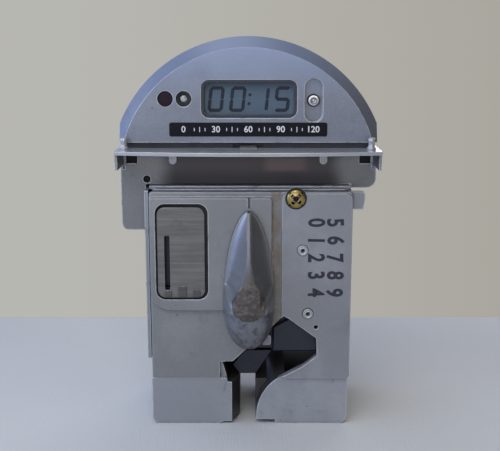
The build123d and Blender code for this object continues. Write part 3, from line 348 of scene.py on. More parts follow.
def silver_paint(name, colour=silver, roughness=0.42, wear=0.8):
    """Silver-grey enamel with metal flake, faint clouds, scuffs, corners darkened by dirt and painted shade,
    and edges lightened by wear and a painted highlight.
    """
    paint = Finish(name, colour, roughness, metallic=0.38)
    lighter = tuple(channel * 1.22 for channel in colour)
    darker = tuple(channel * 0.78 for channel in colour)
    paint.over(paint.band(paint.noise(22.0, 4.0, 0.6), 0.42, 0.72), lighter)
    paint.over(paint.band(paint.noise(55.0, 5.0, 0.65), 0.55, 0.8), darker)
    flake = paint.noise(2600.0, 2.0, 0.7)
    paint.over(paint.times(paint.band(flake, 0.56, 0.72), 0.45), bare_metal)
    paint.over(paint.times(paint.band(flake, 0.44, 0.28), 0.3), darker)
    scuffs = paint.band(paint.noise(95.0, 6.0, 0.75, stretch=(1.0, 1.0, 0.35)), 0.63, 0.74)
    paint.over(paint.times(scuffs, 0.5), dirt_and_shade)
    paint.sheen_over(scuffs, roughness + 0.2)
    # Dirt and painted shade in the corners, from ambient occlusion, broken up by noise.
    corners = paint.creases(0.0038, 0.25, 0.72)
    paint.over(paint.times(corners, paint.band(paint.noise(120.0, 4.0), 0.2, 0.62)), dirt_and_shade)
    # Edges lightened: wear, and a painted highlight where the edges catch the light.
    rub = paint.band(paint.noise(160.0, 4.0, 0.7), 0.3, 0.5)
    worn = paint.times(paint.times(paint.edges(0.0011, 0.01, 0.1), rub), wear)
    paint.over(worn, rubbed_edge_highlight)
    specks = paint.band(paint.cells(140.0), 0.05, 0.075, flip=True)
    paint.over(paint.times(specks, paint.band(paint.noise(35.0), 0.55, 0.62)), dirt_and_shade)
    paint.soft_edges(0.00045)
    paint.relief(paint.noise(1400.0, 2.0), 0.00004, 0.6)
    paint.relief(paint.noise(45.0, 3.0), 0.0004, 0.12)
    return paint


def cover_paint():
    """The front cover's enamel, with a brown stain in the channel beside the raised pad."""
    paint = silver_paint("cover_paint", (0.200, 0.205, 0.210))
    channel_left, channel_right = 0.0140, 0.0186
    channel = paint.within("X", channel_left, channel_right, 0.0008)
    ragged = paint.band(paint.noise(150.0, 5.0, 0.75), 0.15, 0.75)
    paint.over(paint.times(channel, ragged), rust_stain)
    return paint.material


def dial_paint():
    """The dial's enamel, a little bluer and lighter towards its top: a painted bluish reflection."""
    low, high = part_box("dial_cover")
    paint = silver_paint("dial_paint", (0.162, 0.178, 0.216), 0.35)
    # Painted reflection: the upper dial lighter and bluer.
    upper = paint.height_share(low.z + 0.3 * (high.z - low.z), high.z)
    paint.over(paint.times(upper, 0.8), (0.205, 0.255, 0.385))
    return paint.material


def shelf_paint():
    """The shelf's glossier enamel, painted lighter for the light falling on its top, with the blackened
    tongue under the head.
    """
    paint = silver_paint("upper_shelf_paint", (0.38, 0.39, 0.41), 0.17, 0.5)
    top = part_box("shelf_plate")[1].z
    tongue_half, thickness = 0.0055, 1.3 * mm
    tongue = paint.times(paint.within("X", -tongue_half, tongue_half, 0.0002),
                         paint.within("Z", top - thickness, top + mm, 0.0001))
    paint.over(tongue, (0.012, 0.012, 0.016))
    return paint.material


def leg_paint():
    """The legs' enamel, with painted shade making their hollow inner sides almost black."""
    paint = silver_paint("leg_paint", (0.272, 0.282, 0.305))
    between_legs = paint.within("X", -0.0150, 0.034, 0.001)
    behind_front = paint.within("Y", -0.0145, 0.05, 0.001)
    # Painted shade on the legs' inner sides and between them behind their front.
    inner = paint.times(between_legs, paint.turned_away())
    hollow = paint.times(between_legs, behind_front)
    paint.over(paint.times(paint.maths("MAXIMUM", inner, hollow), 0.9), (0.03, 0.025, 0.022))
    return paint.material


def shelf_shadow_paint():
    """The upright plate's enamel, with a painted shadow making it almost black where the shelf shelters it.
    """
    paint = silver_paint("shelf_shadow_paint", (0.165, 0.166, 0.168))
    # Painted shadow of the shelf on the plate below it.
    shelf_shadow = paint.times(paint.within("X", -0.042, 0.046, 0.014), paint.within("Z", 0.120, 0.172, 0.002))
    paint.over(paint.times(shelf_shadow, 0.88), (0.040, 0.031, 0.031))
    # More painted shade, deepest low down just above the deck.
    deep = paint.times(shelf_shadow, paint.height_share(0.158, 0.149))
    paint.over(paint.times(deep, 0.75), (0.022, 0.020, 0.026))
    # A painted brownish reflection just under the shelf.
    patch = paint.times(paint.within("X", 0.014, 0.030, 0.008), paint.within("Z", 0.156, 0.161, 0.003))
    paint.over(paint.times(patch, 0.5), (0.17, 0.12, 0.11))
    return paint.material


def worn_casting():
    """The handle's finish: the same enamel, worn through on the nose to a brown-grey, pitted casting."""
    metal = Finish("worn_casting", silver, 0.33, metallic=0.6)
    metal.over(metal.band(metal.noise(30.0, 4.0, 0.6), 0.4, 0.75), (0.27, 0.29, 0.33))
    metal.over(metal.times(metal.band(metal.noise(2400.0, 2.0, 0.7), 0.56, 0.7), 0.35), bare_metal)
    streaks = metal.band(metal.noise(210.0, 5.0, 0.75, stretch=(1.0, 1.0, 0.3)), 0.42, 0.68)
    low = metal.within("Z", 0.045, 0.073, 0.008)
    metal.over(metal.times(metal.times(streaks, low), 0.75), (0.07, 0.065, 0.062))
    nose = metal.attribute("wear")
    # Darkens the nose and the rubbed ridge above it: dirt, and painted shade that tones down the light on the
    # ridge.
    metal.over(metal.times(metal.band(nose, 0.15, 0.3), 0.85), (0.065, 0.065, 0.07))
    shaded = metal.times(metal.within("X", 0.0024, 0.030, 0.001), metal.height_share(0.078, 0.088))
    metal.over(metal.times(shaded, 0.55), (0.085, 0.075, 0.065))
    unevenness = metal.times(metal.noise(420.0, 5.0, 0.7), 0.35)
    ragged = metal.band(metal.maths("ADD", nose, unevenness), 0.58, 0.78)
    metal.over(ragged, (0.085, 0.071, 0.062))
    blotches = metal.band(metal.noise(330.0, 6.0, 0.75), 0.45, 0.66)
    metal.over(metal.times(ragged, blotches), (0.155, 0.138, 0.125))
    pits = metal.band(metal.noise(620.0, 4.0, 0.8), 0.56, 0.68)
    metal.over(metal.times(ragged, pits), (0.04, 0.035, 0.035))
    metal.sheen_over(ragged, 0.62)
    metal.metal_over(ragged, 0.3)
    # Dirt and painted shade in the corners, from ambient occlusion.
    metal.over(metal.times(metal.creases(0.004), 0.8), dirt_and_shade)
    metal.over(metal.times(metal.edges(0.0006), 0.5), bare_metal)
    metal.soft_edges(0.0004)
    metal.relief(metal.times(pits, ragged), 0.0003, 0.8)
    metal.relief(metal.noise(900.0, 3.0), 0.00006, 0.5)
    return metal.material


def coin_plate_finish():
    plate = Finish("coin_plate_finish", (0.135, 0.133, 0.128), 0.38, metallic=0.65)
    grain = plate.noise(500.0, 3.0, 0.6, stretch=(0.05, 1.0, 1.0))
    plate.over(plate.times(plate.band(grain, 0.35, 0.7), 0.5), (0.24, 0.235, 0.23))
    plate.over(plate.band(plate.noise(90.0, 5.0, 0.7), 0.55, 0.8), (0.11, 0.105, 0.10))
    specks = plate.band(plate.cells(260.0), 0.07, 0.12, flip=True)
    plate.over(plate.times(specks, plate.band(plate.noise(60.0), 0.52, 0.6)), dirt_and_shade)
    # Painted shade in the slot, the corners and round the raised shapes.
    plate.over(plate.creases(0.0022, 0.45, 0.95), (0.03, 0.028, 0.028))
    plate.over(plate.times(plate.edges(0.0005), 0.6), bare_metal)
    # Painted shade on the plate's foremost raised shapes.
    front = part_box("coin_plate")[0].y
    raised_shapes = plate.within("Y", front - mm, front + 0.3 * mm, 0.0001)
    plate.over(plate.times(raised_shapes, 0.55), (0.045, 0.043, 0.042))
    plate.sheen_over(plate.band(plate.noise(120.0, 4.0), 0.4, 0.7), 0.5)
    plate.soft_edges(0.0003)
    plate.relief(grain, 0.00005, 0.5)
    return plate.material


def plated_steel():
    steel = Finish("plated_steel", (0.52, 0.52, 0.54), 0.28, metallic=1.0)
    steel.over(steel.band(steel.noise(400.0, 4.0, 0.7), 0.55, 0.75), (0.30, 0.29, 0.28))
    # Dirt and painted shade in the corners.
    steel.over(steel.creases(0.0015), dirt_and_shade)
    steel.sheen_over(steel.band(steel.noise(700.0, 3.0), 0.4, 0.7), 0.45)
    steel.relief(steel.noise(1200.0, 2.0), 0.00003, 0.4)
    return steel.material


def yellow_zinc():
    zinc = Finish("yellow_zinc", (0.40, 0.29, 0.085), 0.34, metallic=0.9)
    zinc.over(zinc.band(zinc.noise(260.0, 4.0, 0.7), 0.45, 0.7), (0.27, 0.22, 0.10))
    zinc.over(zinc.band(zinc.noise(500.0, 3.0), 0.58, 0.7), (0.42, 0.36, 0.22))
    low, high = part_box("cover_screw")
    x, z = (low.x + high.x) / 2, (low.z + high.z) / 2
    reach = 3.8 * mm
    # Painted shade in the cross recess, laid on the head wherever it lies more than 0.7 mm behind its front.
    recess = zinc.times(zinc.within("X", x - reach, x + reach, 0.0002),
                        zinc.within("Z", z - reach, z + reach, 0.0002))
    recess = zinc.times(recess, zinc.within("Y", low.y + 0.7 * mm, low.y + 4 * mm, 0.0001))
    zinc.over(recess, (0.03, 0.013, 0.009))
    zinc.relief(zinc.noise(1500.0, 2.0), 0.00004, 0.4)
    return zinc.material


def sintered_bronze():
    bronze = Finish("sintered_bronze", (0.40, 0.26, 0.12), 0.45, metallic=0.9)
    bronze.over(bronze.band(bronze.noise(700.0, 4.0, 0.8), 0.5, 0.7), (0.22, 0.14, 0.07))
    bronze.relief(bronze.noise(2000.0, 3.0), 0.00005, 0.5)
    return bronze.material


def moulded(name, colour, roughness, dust):
    """Moulded plastic with a fine spark-eroded grain and a little dust."""
    plastic = Finish(name, colour, roughness, Specular_IOR_Level=0.5)
    plastic.over(plastic.times(plastic.band(plastic.noise(75.0, 5.0, 0.7), 0.5, 0.8), 0.5), dust)
    plastic.sheen_over(plastic.band(plastic.noise(180.0, 4.0), 0.45, 0.7), roughness + 0.15)
    plastic.soft_edges(0.0003)
    plastic.relief(plastic.noise(2200.0, 2.0), 0.00005, 0.5)
    return plastic.material


def circuit_board():
    board = Finish("circuit_board", (0.02, 0.12, 0.05), 0.35)
    tracks = board.band(board.noise(180.0, 1.0, 0.2, stretch=(1.0, 1.0, 0.1)), 0.5, 0.53)
    board.over(tracks, (0.03, 0.20, 0.08))
    board.over(board.band(board.cells(220.0), 0.08, 0.12, flip=True), (0.55, 0.52, 0.42))
    board.relief(tracks, 0.00005, 0.6)
    return board.material


def display_liquid():
    """The display's grey-blue cell: almost even, with painted shade making it a little darker towards its
    upper edge.
    """
    low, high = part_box("display_window")
    cell = Finish("display_liquid", (0.105, 0.155, 0.20), 0.5, Specular_IOR_Level=0.3)
    # Painted shade under the window's upper edge.
    cell.over(cell.times(cell.height_share(low.z + 0.008, high.z), 0.5), (0.055, 0.085, 0.12))
    cell.over(cell.times(cell.noise(1500.0, 1.0), 0.25), (0.15, 0.19, 0.23))
    return cell.material


def clear_pane():
    pane = Finish("clear_pane", (0.02, 0.03, 0.05), 0.05, Alpha=0.08)
    pane.sheen_over(pane.band(pane.noise(60.0, 4.0), 0.5, 0.8), 0.12)
    return pane.material


def dark_filter():
    lens = Finish("dark_filter", (0.018, 0.008, 0.016), 0.5, Specular_IOR_Level=0.15)
    lens.over(lens.band(lens.noise(300.0, 3.0), 0.5, 0.8), (0.03, 0.018, 0.028))
    lens.sheen_over(lens.band(lens.noise(500.0, 3.0), 0.4, 0.7), 0.65)
    return lens.material


def lamp_lens():
    lens = Finish("lamp_lens", (0.62, 0.64, 0.66), 0.2, Transmission_Weight=0.35, IOR=1.5)
    lens.over(lens.band(lens.noise(700.0, 3.0), 0.45, 0.7), (0.35, 0.36, 0.38))
    return lens.material


def printing(name, colour, patchy=0.35):
    """A thin printed or stamped ink layer with worn, uneven edges."""
    ink = Finish(name, colour, 0.55)
    thin = tuple(min(1.0, channel * 2.2 + 0.03) for channel in colour)
    ink.over(ink.times(ink.band(ink.noise(900.0, 4.0, 0.7), 0.5, 0.7), patchy), thin)
    return ink.material


def label_film():
    film = Finish("label_film", (0.005, 0.005, 0.009), 0.5, Specular_IOR_Level=0.15)
    film.over(film.times(film.band(film.noise(150.0, 5.0, 0.7), 0.55, 0.75), 0.4), (0.014, 0.014, 0.018))
    film.over(film.times(film.edges(0.0004), 0.5), (0.08, 0.08, 0.09))
    film.sheen_over(film.band(film.noise(200.0, 3.0), 0.4, 0.7), 0.6)
    return film.material


def wound_copper():
    copper = Finish("wound_copper", (0.45, 0.17, 0.06), 0.3, metallic=0.9)
    turns = copper.noise(900.0, 1.0, stretch=(1.0, 0.1, 0.1))
    copper.over(copper.band(turns, 0.4, 0.6), (0.25, 0.08, 0.03))
    copper.relief(turns, 0.0001, 0.6)
    return copper.material


def cell_sleeve():
    sleeve = Finish("cell_sleeve", (0.02, 0.03, 0.12), 0.3)
    stripe = sleeve.height_share(0.118, 0.119)
    sleeve.over(stripe, (0.55, 0.40, 0.12))
    sleeve.over(sleeve.times(sleeve.band(sleeve.noise(200.0), 0.5, 0.8), 0.4), (0.06, 0.07, 0.16))
    return sleeve.material


def ribbon_wires():
    ribbon = Finish("ribbon_wires", (0.36, 0.36, 0.38), 0.5)
    wires = ribbon.add("ShaderNodeTexWave", wave_type="BANDS", bands_direction="X")
    wires.inputs["Scale"].default_value = 125.0
    ribbon.join(ribbon.places, wires.inputs["Vector"])
    ribbon.over(ribbon.band(wires.outputs["Fac"], 0.0, 0.35, flip=True), (0.16, 0.16, 0.17))
    ribbon.relief(wires.outputs["Fac"], 0.0002, 0.6)
    return ribbon.material


finishes = {
    "paint": silver_paint("silver_paint").material,
    # Shelf enamel: glossier, and painted lighter for the light on the shelf's top.
    "shelf_paint": silver_paint("shelf_paint", (0.38, 0.39, 0.41), 0.17, 0.5).material,
    "handle_metal": worn_casting(),
    "coin_plate_metal": coin_plate_finish(),
    "bright_steel": plated_steel(),
    "zinc_yellow": yellow_zinc(),
    "bronze": sintered_bronze(),
    "black_plastic": moulded("black_moulding", (0.012, 0.015, 0.028), 0.33, (0.035, 0.04, 0.06)),
    "white_plastic": moulded("natural_acetal", (0.62, 0.60, 0.54), 0.42, (0.45, 0.42, 0.36)),
    "rubber": moulded("black_rubber", (0.014, 0.013, 0.014), 0.75, (0.04, 0.038, 0.036)),
    "board": circuit_board(),
    "clear_glass": clear_pane(),
    "dark_lens": dark_filter(),
    "display_grey": display_liquid(),
    "label_black": label_film(),
    "coil_copper": wound_copper(),
    "cell_wrap": cell_sleeve(),
    "ribbon_grey": ribbon_wires(),
}
leg_finish = leg_paint()
grey_gasket = moulded("grey_gasket", (0.05, 0.052, 0.06), 0.7, (0.08, 0.08, 0.085))
own_finishes = {
    "front_cover": cover_paint(), "back_plate": shelf_shadow_paint(), "shelf_plate": shelf_paint(),
    "dial_cover": dial_paint(), "head_gasket": grey_gasket, "leg_left": leg_finish, "leg_right": leg_finish,
}
node_slots = {part["node"]: part["material_slot"] for part in frame["record"]["subparts"]}


# ---- Making pieces -----------------------------------------------------------------------------------------


def placed(name, bm, body, slot, material=None, replaces=(), smooth=35.0):
    """Closes a bmesh as a finished piece that rides on a body and takes a slot's finish."""
    mesh = bpy.data.meshes.new(name)
    bm.to_mesh(mesh)
    bm.free()
    mesh.shade_smooth()
    mesh.set_sharp_from_angle(angle=radians(smooth))
    mesh.materials.clear()
    mesh.materials.append(material or finishes[slot])
    piece = bpy.data.objects.new(name, mesh)
    scene.collection.objects.link(piece)
    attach(piece, body)
    if replaces:
        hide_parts(*replaces)
    return piece


def turned(profile, place, along="-Y"):
    """A lathe-turned shape: (radius, height) points spun round an axis that starts at place."""
    steps = 48
    bm = bmesh.new()
    points = [bm.verts.new((radius, 0, height)) for radius, height in profile]
    edges = [bm.edges.new(pair) for pair in zip(points, points[1:])]
    bmesh.ops.spin(bm, geom=points + edges, cent=(0, 0, 0), axis=(0, 0, 1), angle=2 * pi, steps=steps,
                   use_merge=True)
    bmesh.ops.remove_doubles(bm, verts=bm.verts, dist=0.000001)
    bmesh.ops.recalc_face_normals(bm, faces=bm.faces)
    tilt = {"-Y": face_front, "+Z": Matrix.Identity(4)}[along]
    bmesh.ops.transform(bm, matrix=Matrix.Translation(place) @ tilt, verts=bm.verts)
    return bm


def flat_shape(bm, outline, depth, place):
    """Adds one flat face drawn in x and z, facing the front, and thickens it towards the back."""
    corners = [bm.verts.new((x, 0, z)) for x, z in outline]
    face = bm.faces.new(corners)
    raised = bmesh.ops.extrude_face_region(bm, geom=[face], use_keep_orig=True)["geom"]
    verts = [item for item in raised if isinstance(item, bmesh.types.BMVert)]
    bmesh.ops.translate(bm, verts=verts, vec=(0, depth, 0))
    bmesh.ops.translate(bm, verts=corners + verts, vec=place)


def lettering(text, height, bold=0.0):
    """Numbers as a flat mesh centred on the origin, reading in x and z from the front."""
    curve = bpy.data.curves.new("numbers", "FONT")
    curve.body = text
    digit_share = 0.69
    curve.size = height / digit_share
    curve.align_x = "CENTER"
    curve.align_y = "CENTER"
    curve.offset = bold
    curve.resolution_u = 4
    holder = bpy.data.objects.new("numbers", curve)
    scene.collection.objects.link(holder)
    mesh = bpy.data.meshes.new_from_object(holder.evaluated_get(bpy.context.evaluated_depsgraph_get()))
    mesh.transform(face_front)
    bpy.data.objects.remove(holder)
    return mesh


def centre_of(node):
    low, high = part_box(node)
    return (low + high) / 2


# ---- Display and dial --------------------------------------------------------------------------------------

# Segments of a digit, as the middle of each bar in half digit sizes and whether it stands upright
segment_places = {
    "a": (0, 1, False), "b": (1, 0.5, True), "c": (1, -0.5, True), "d": (0, -1, False),
    "e": (-1, -0.5, True), "f": (-1, 0.5, True), "g": (0, 0, False),
}
lit_segments = {"0": "abcdef", "1": "bc", "5": "afgcd"}


def segment_outline(half_length, half_width, upright):
    shoulder = half_length - half_width
    bar = [(-half_length, 0), (-shoulder, -half_width), (shoulder, -half_width),
           (half_length, 0), (shoulder, half_width), (-shoulder, half_width)]
    return [(-z, x) for x, z in bar] if upright else bar


def display_digits():
    """Slanted seven-segment digits on the front of the display cell, reading fifteen minutes."""
    low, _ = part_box("display_cell")
    middle = centre_of("display_cell")
    digit_width, digit_height, stroke, slant = 7.0 * mm, 12.8 * mm, 1.0 * mm, 0.11
    depth = 0.08 * mm
    bm = bmesh.new()
    for digit, x in (("0", -19.2), ("0", -6.6), ("1", 7.0), ("5", 19.3)):
        for name in lit_segments[digit]:
            across, up, upright = segment_places[name]
            half = (digit_height / 4 if upright else digit_width / 2) + 0.25 * mm
            place = (x * mm + across * digit_width / 2, 0, up * digit_height / 2)
            flat_shape(bm, segment_outline(half, stroke, upright), depth, place)
    dot = 0.85 * mm
    for z in (-2.6, 2.6):
        flat_shape(bm, [(-dot, -dot), (dot, -dot), (dot, dot), (-dot, dot)], depth, (0.2 * mm, 0, z * mm))
    shear = Matrix.Identity(4)
    shear[0][2] = slant
    where = Vector((middle.x, low.y - depth, middle.z - 0.3 * mm))
    bmesh.ops.transform(bm, matrix=Matrix.Translation(where) @ shear, verts=bm.verts)
    bmesh.ops.recalc_face_normals(bm, faces=bm.faces)
    segments = printing("liquid_segments", (0.004, 0.008, 0.026), 0.1)
    placed("display_digits", bm, "chassis", "display_grey", segments)


def minute_scale():
    """White minute numbers and ticks on the black strip under the display."""
    low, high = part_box("minute_label")
    middle = (low + high) / 2
    span = (high.x - low.x) * 0.82
    front = low.y - 0.03 * mm
    number_height = 3.5 * mm
    bm = bmesh.new()
    numbers = ("0", "30", "60", "90", "120")
    for index, text in enumerate(numbers):
        mesh = lettering(text, number_height, 0.00008)
        x = middle.x + span * (index / (len(numbers) - 1) - 0.5)
        mesh.transform(Matrix.Translation((x, front, middle.z)))
        bm.from_mesh(mesh)
    ticks = 24
    for tick in range(ticks + 1):
        if tick % 6 in (0, 1, 5):
            continue
        half_height = (1.5 if tick % 6 == 3 else 0.9) * mm
        half_width = 0.22 * mm
        x = middle.x + span * (tick / ticks - 0.5)
        bar = [(-half_width, -half_height), (half_width, -half_height), (half_width, half_height),
               (-half_width, half_height)]
        flat_shape(bm, bar, 0.02 * mm, (x, front, middle.z))
    placed("minute_scale", bm, "chassis", "white_plastic", printing("white_ink", (0.66, 0.66, 0.66), 0.3))


def dial_fittings():
    """The lamp's collar, the filter in the sensor port and the post in the long recess."""
    lamp = centre_of("lamp_ring")
    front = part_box("lamp_ring")[0].y
    outer, inner = 4.45 * mm, 2.2 * mm
    collar = turned([(outer, 0), (outer, 0.0022), (outer - 0.3 * mm, 0.0026), (inner + 0.5 * mm, 0.0022),
                     (inner, 0.0016), (inner, 0), (outer, 0)], (lamp.x, front + 0.0026, lamp.z))
    placed("lamp_collar", collar, "chassis", "black_plastic", finishes["rubber"], ("lamp_ring",))
    lens_radius = 2.15 * mm
    dome = [(lens_radius * cos(a * pi / 12), lens_radius * sin(a * pi / 12) * 0.6) for a in range(7)]
    lens = turned([(0, -0.004), (lens_radius, -0.004)] + dome, (lamp.x, front + 0.0018, lamp.z))
    placed("lamp_lens", lens, "chassis", "clear_glass", lamp_lens(), replaces=("status_lamp",))
    port = centre_of("sensor_window")
    port_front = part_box("sensor_window")[0].y
    port_radius = 4.45 * mm
    glass = turned([(0, -0.0025), (port_radius, -0.0025), (port_radius, -0.0004), (port_radius - 0.4 * mm, 0),
                    (port_radius * 0.5, 0.0001), (0, 0.00012)], (port.x, port_front + 0.0001, port.z))
    placed("sensor_filter", glass, "chassis", "dark_lens", replaces=("sensor_window",))
    post = centre_of("dial_screw")
    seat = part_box("dial_screw")[0].y + 0.002
    ring = turned([(3.7 * mm, 0), (3.7 * mm, 0.0006), (3.5 * mm, 0.0009), (3.3 * mm, 0.0006), (3.3 * mm, 0),
                   (3.7 * mm, 0)], (post.x, seat, post.z))
    placed("post_seal", ring, "chassis", "rubber")
    head = turned([(0, -0.004), (1.4 * mm, -0.004), (1.4 * mm, 0), (3.25 * mm, 0), (3.25 * mm, 0.0014),
                   (2.9 * mm, 0.0018), (2.0 * mm, 0.0019), (1.7 * mm, 0.0012), (0.9 * mm, 0.0010),
                   (0.7 * mm, 0.0016), (0, 0.0018)], (post.x, seat, post.z))
    placed("recess_post", head, "chassis", "bright_steel", replaces=("dial_screw",))


# ---- Fasteners ---------------------------------------------------------------------------------------------


def driver_bar(place, turn, arm, width, depth):
    """One bar of a cross recess, tapering towards the back from place."""
    bm = bmesh.new()
    bmesh.ops.create_cube(bm, size=1)
    bmesh.ops.scale(bm, verts=bm.verts, vec=(arm * 2, depth * 2, width))
    for vert in bm.verts:
        if vert.co.y > 0:
            vert.co.x *= 0.5
            vert.co.z *= 0.6
    bmesh.ops.rotate(bm, verts=bm.verts, cent=(0, 0, 0), matrix=Matrix.Rotation(radians(turn), 3, "Y"))
    bmesh.ops.translate(bm, verts=bm.verts, vec=place)
    mesh = bpy.data.meshes.new("cutter")
    bm.to_mesh(mesh)
    bm.free()
    cutter = bpy.data.objects.new("cutter", mesh)
    scene.collection.objects.link(cutter)
    return cutter


def cut_away(piece, cutter):
    """Cuts one shape out of a piece for good."""
    cut = piece.modifiers.new("cut", "BOOLEAN")
    cut.object = cutter
    cut.solver = "EXACT"
    result = bpy.data.meshes.new_from_object(piece.evaluated_get(bpy.context.evaluated_depsgraph_get()))
    piece.modifiers.clear()
    piece.data = result
    result.set_sharp_from_angle(angle=radians(35))
    bpy.data.objects.remove(cutter)


def cover_screw():
    """A pan-head screw in yellow zinc with a deep cross recess."""
    low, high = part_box("cover_screw")
    middle = (low + high) / 2
    radius = (high.x - low.x) / 2
    rise = 0.0022
    head = [(radius * cos(a * pi / 16), rise * (0.35 + 0.65 * sin(a * pi / 16))) for a in range(9)]
    shank = [(0, -0.008), (1.5 * mm, -0.008), (1.5 * mm, 0), (radius - 0.2 * mm, 0), (radius, 0.2 * mm)]
    place = (middle.x, low.y + rise, middle.z)
    screw = placed("cover_screw_head", turned(shank + head, place), "chassis", "zinc_yellow",
                   replaces=("cover_screw",))
    for turn in (40, 130):
        cut_away(screw, driver_bar((middle.x, low.y - 0.0001, middle.z), turn, 5.2 * mm, 2.7 * mm, 2.3 * mm))
    # A thin black ring round the head: a painted shadow of the head on the cover.
    head_shadow_ring = turned([(radius + 0.9 * mm, 0), (radius + 0.9 * mm, 0.15 * mm), (radius - 0.5 * mm, 0.15 * mm),
                     (radius - 0.5 * mm, 0), (radius + 0.9 * mm, 0)], (middle.x, low.y + rise, middle.z))
    placed("screw_shadow_washer", head_shadow_ring, "chassis", "rubber")


def ringed_rivets():
    """Rivets with a raised rim, a sunk ring and a small dimple."""
    low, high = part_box("cover_rivets")
    radius = 3.1 * mm
    rim, dip = 0.7 * mm, 0.25 * mm
    for index, (x, z) in enumerate(((low.x + radius, high.z - radius), (high.x - radius, low.z + radius))):
        profile = [(0, -0.004), (1.5 * mm, -0.004), (1.5 * mm, 0), (radius, 0), (radius, rim * 0.6),
                   (radius - 0.2 * mm, rim), (radius - 0.6 * mm, rim), (radius - 0.9 * mm, dip),
                   (1.55 * mm, dip), (1.35 * mm, rim * 0.8), (0.8 * mm, rim * 0.85), (0.55 * mm, dip),
                   (0, dip)]
        place = (x, low.y + rim, z)
        replaced = ("cover_rivets",) if index == 0 else ()
        placed(f"ringed_rivet_{index + 1}", turned(profile, place), "chassis", "bright_steel",
               finishes["shelf_paint"], replaced)
        edge = radius + 0.35 * mm
        inside = radius - 0.1 * mm
        ring = [(edge, 0), (edge, 0.1 * mm), (inside, 0.1 * mm), (inside, 0), (edge, 0)]
        outline = turned(ring, place)
        placed(f"rivet_outline_{index + 1}", outline, "chassis", "rubber")
        plug = [(0, 0), (1.15 * mm, 0), (1.15 * mm, 0.75 * mm), (0.9 * mm, 0.75 * mm), (0, 0.65 * mm)]
        dimple = turned(plug, place)
        placed(f"rivet_dimple_{index + 1}", dimple, "chassis", "rubber")


def locating_studs():
    low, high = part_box("locating_studs")
    base, rise = low.z, high.z - low.z
    foot, stem, cap = 2.6 * mm, 1.9 * mm, 2.2 * mm
    y = (low.y + high.y) / 2
    for index, x in enumerate((low.x + foot, high.x - foot)):
        profile = [(0, 0), (foot, 0), (foot, 1.2 * mm), (foot - 0.5 * mm, 1.6 * mm), (stem, 1.9 * mm),
                   (stem, 4.0 * mm), (cap - 0.2 * mm, 4.2 * mm), (cap, 4.5 * mm), (cap, rise - 1.1 * mm),
                   (cap - 0.35 * mm, rise - 0.4 * mm), (cap - 1.0 * mm, rise), (0, rise)]
        replaced = ("locating_studs",) if index == 0 else ()
        stud = turned(profile, (x, y, base), along="+Z")
        placed(f"locating_stud_{index + 1}", stud, "chassis", "bright_steel", finishes["shelf_paint"],
               replaced)


# ---- Twist handle ------------------------------------------------------------------------------------------


def ease(value, low, high):
    share = min(max((value - low) / (high - low), 0.0), 1.0)
    return share * share * (3 - 2 * share)


def between(value, *stations):
    """Reads a value off a few (place, value) stations, with eased steps between them."""
    for (low, first), (high, second) in zip(stations, stations[1:]):
        if value <= high:
            return first + (second - first) * ease(value, low, high)
    return stations[-1][1]


class HandleForm:
    """The handle's form. along runs from -1 at its lower end to 1 at its upper tip."""

    def __init__(self, low, high):
        self.half_length = (high.z - low.z) / 2
        self.half_width = (high.x - low.x) / 2
        self.rise = high.y - low.y
        self.skirt = 2.0 * mm

    def width(self, along):
        widest = -0.33
        if along > widest:
            share = (along - widest) / (1 - widest)
            return self.half_width * 0.97 * max(1 - share**2, 0.0) ** 0.6 + 0.35 * mm * share
        share = (widest - along) / (1 + widest)
        return self.half_width * 0.97 * max(1 - share**2.4, 0.004) ** 0.5

    def ridge_height(self, along):
        if along > 0:
            return self.skirt + (self.rise - self.skirt) * (1 - along**1.3)
        if along > -0.34:
            return self.rise * (1 - 0.055 * ease(-along, 0.05, 0.34))
        share = (-0.34 - along) / 0.66
        return self.skirt + (self.rise * 0.945 - self.skirt) * (1 - share) ** 0.85

    def ridge_width(self, along):
        nose = between(along, (-1.0, 1.2), (-0.52, 1.9), (-0.42, 3.4), (-0.33, 7.4), (-0.2, 8.7),
                       (-0.06, 7.2), (0.14, 3.6), (0.25, 2.3), (0.42, 1.1), (0.8, 0.95), (1.0, 0.9))
        return min(nose * mm, 0.45 * self.width(along))

    def scoop_width(self, along):
        outer = self.width(along)
        inner = self.ridge_width(along)
        return outer + (inner - outer) * ease(-along, 0.03, 0.27)

    def height(self, x, along):
        top = self.ridge_height(along)
        skirt = min(self.skirt, top * 0.9)
        ridge = self.ridge_width(along)
        scoop = self.scoop_width(along)
        outer = self.width(along)
        x = abs(x)
        if x <= ridge:
            return top - 0.10 * ridge * (x / ridge) ** 2
        crest = top - 0.10 * ridge
        closing = (outer - scoop) / max(outer - ridge, 1e-6)
        edge = skirt + (crest - skirt) * closing**0.8
        if x < scoop:
            share = (x - ridge) / (scoop - ridge)
            return edge + (crest - edge) * (1 - share) ** 1.9
        share = (x - scoop) / max(outer - scoop, 1e-6)
        return skirt + (edge - skirt) * max(1 - share**2.1, 0.0) ** 0.62

    def worn(self, x, along):
        """1 on the bare nose, a rounded shield with its point up, and a third on the rubbed ridge above."""
        half = between(along, (-0.46, 0.2), (-0.42, 5.0), (-0.32, 8.8), (-0.2, 9.4), (-0.05, 6.8),
                       (0.06, 3.6), (0.14, 0.2))
        ridge = 0.35 * (1 - ease(abs(x) / self.ridge_width(along), 0.8, 1.3))
        if not -0.45 < along < 0.14:
            return ridge if along > 0 else 0.0
        return max(ridge, 1 - ease(abs(x) / (half * mm), 0.86, 1.12))


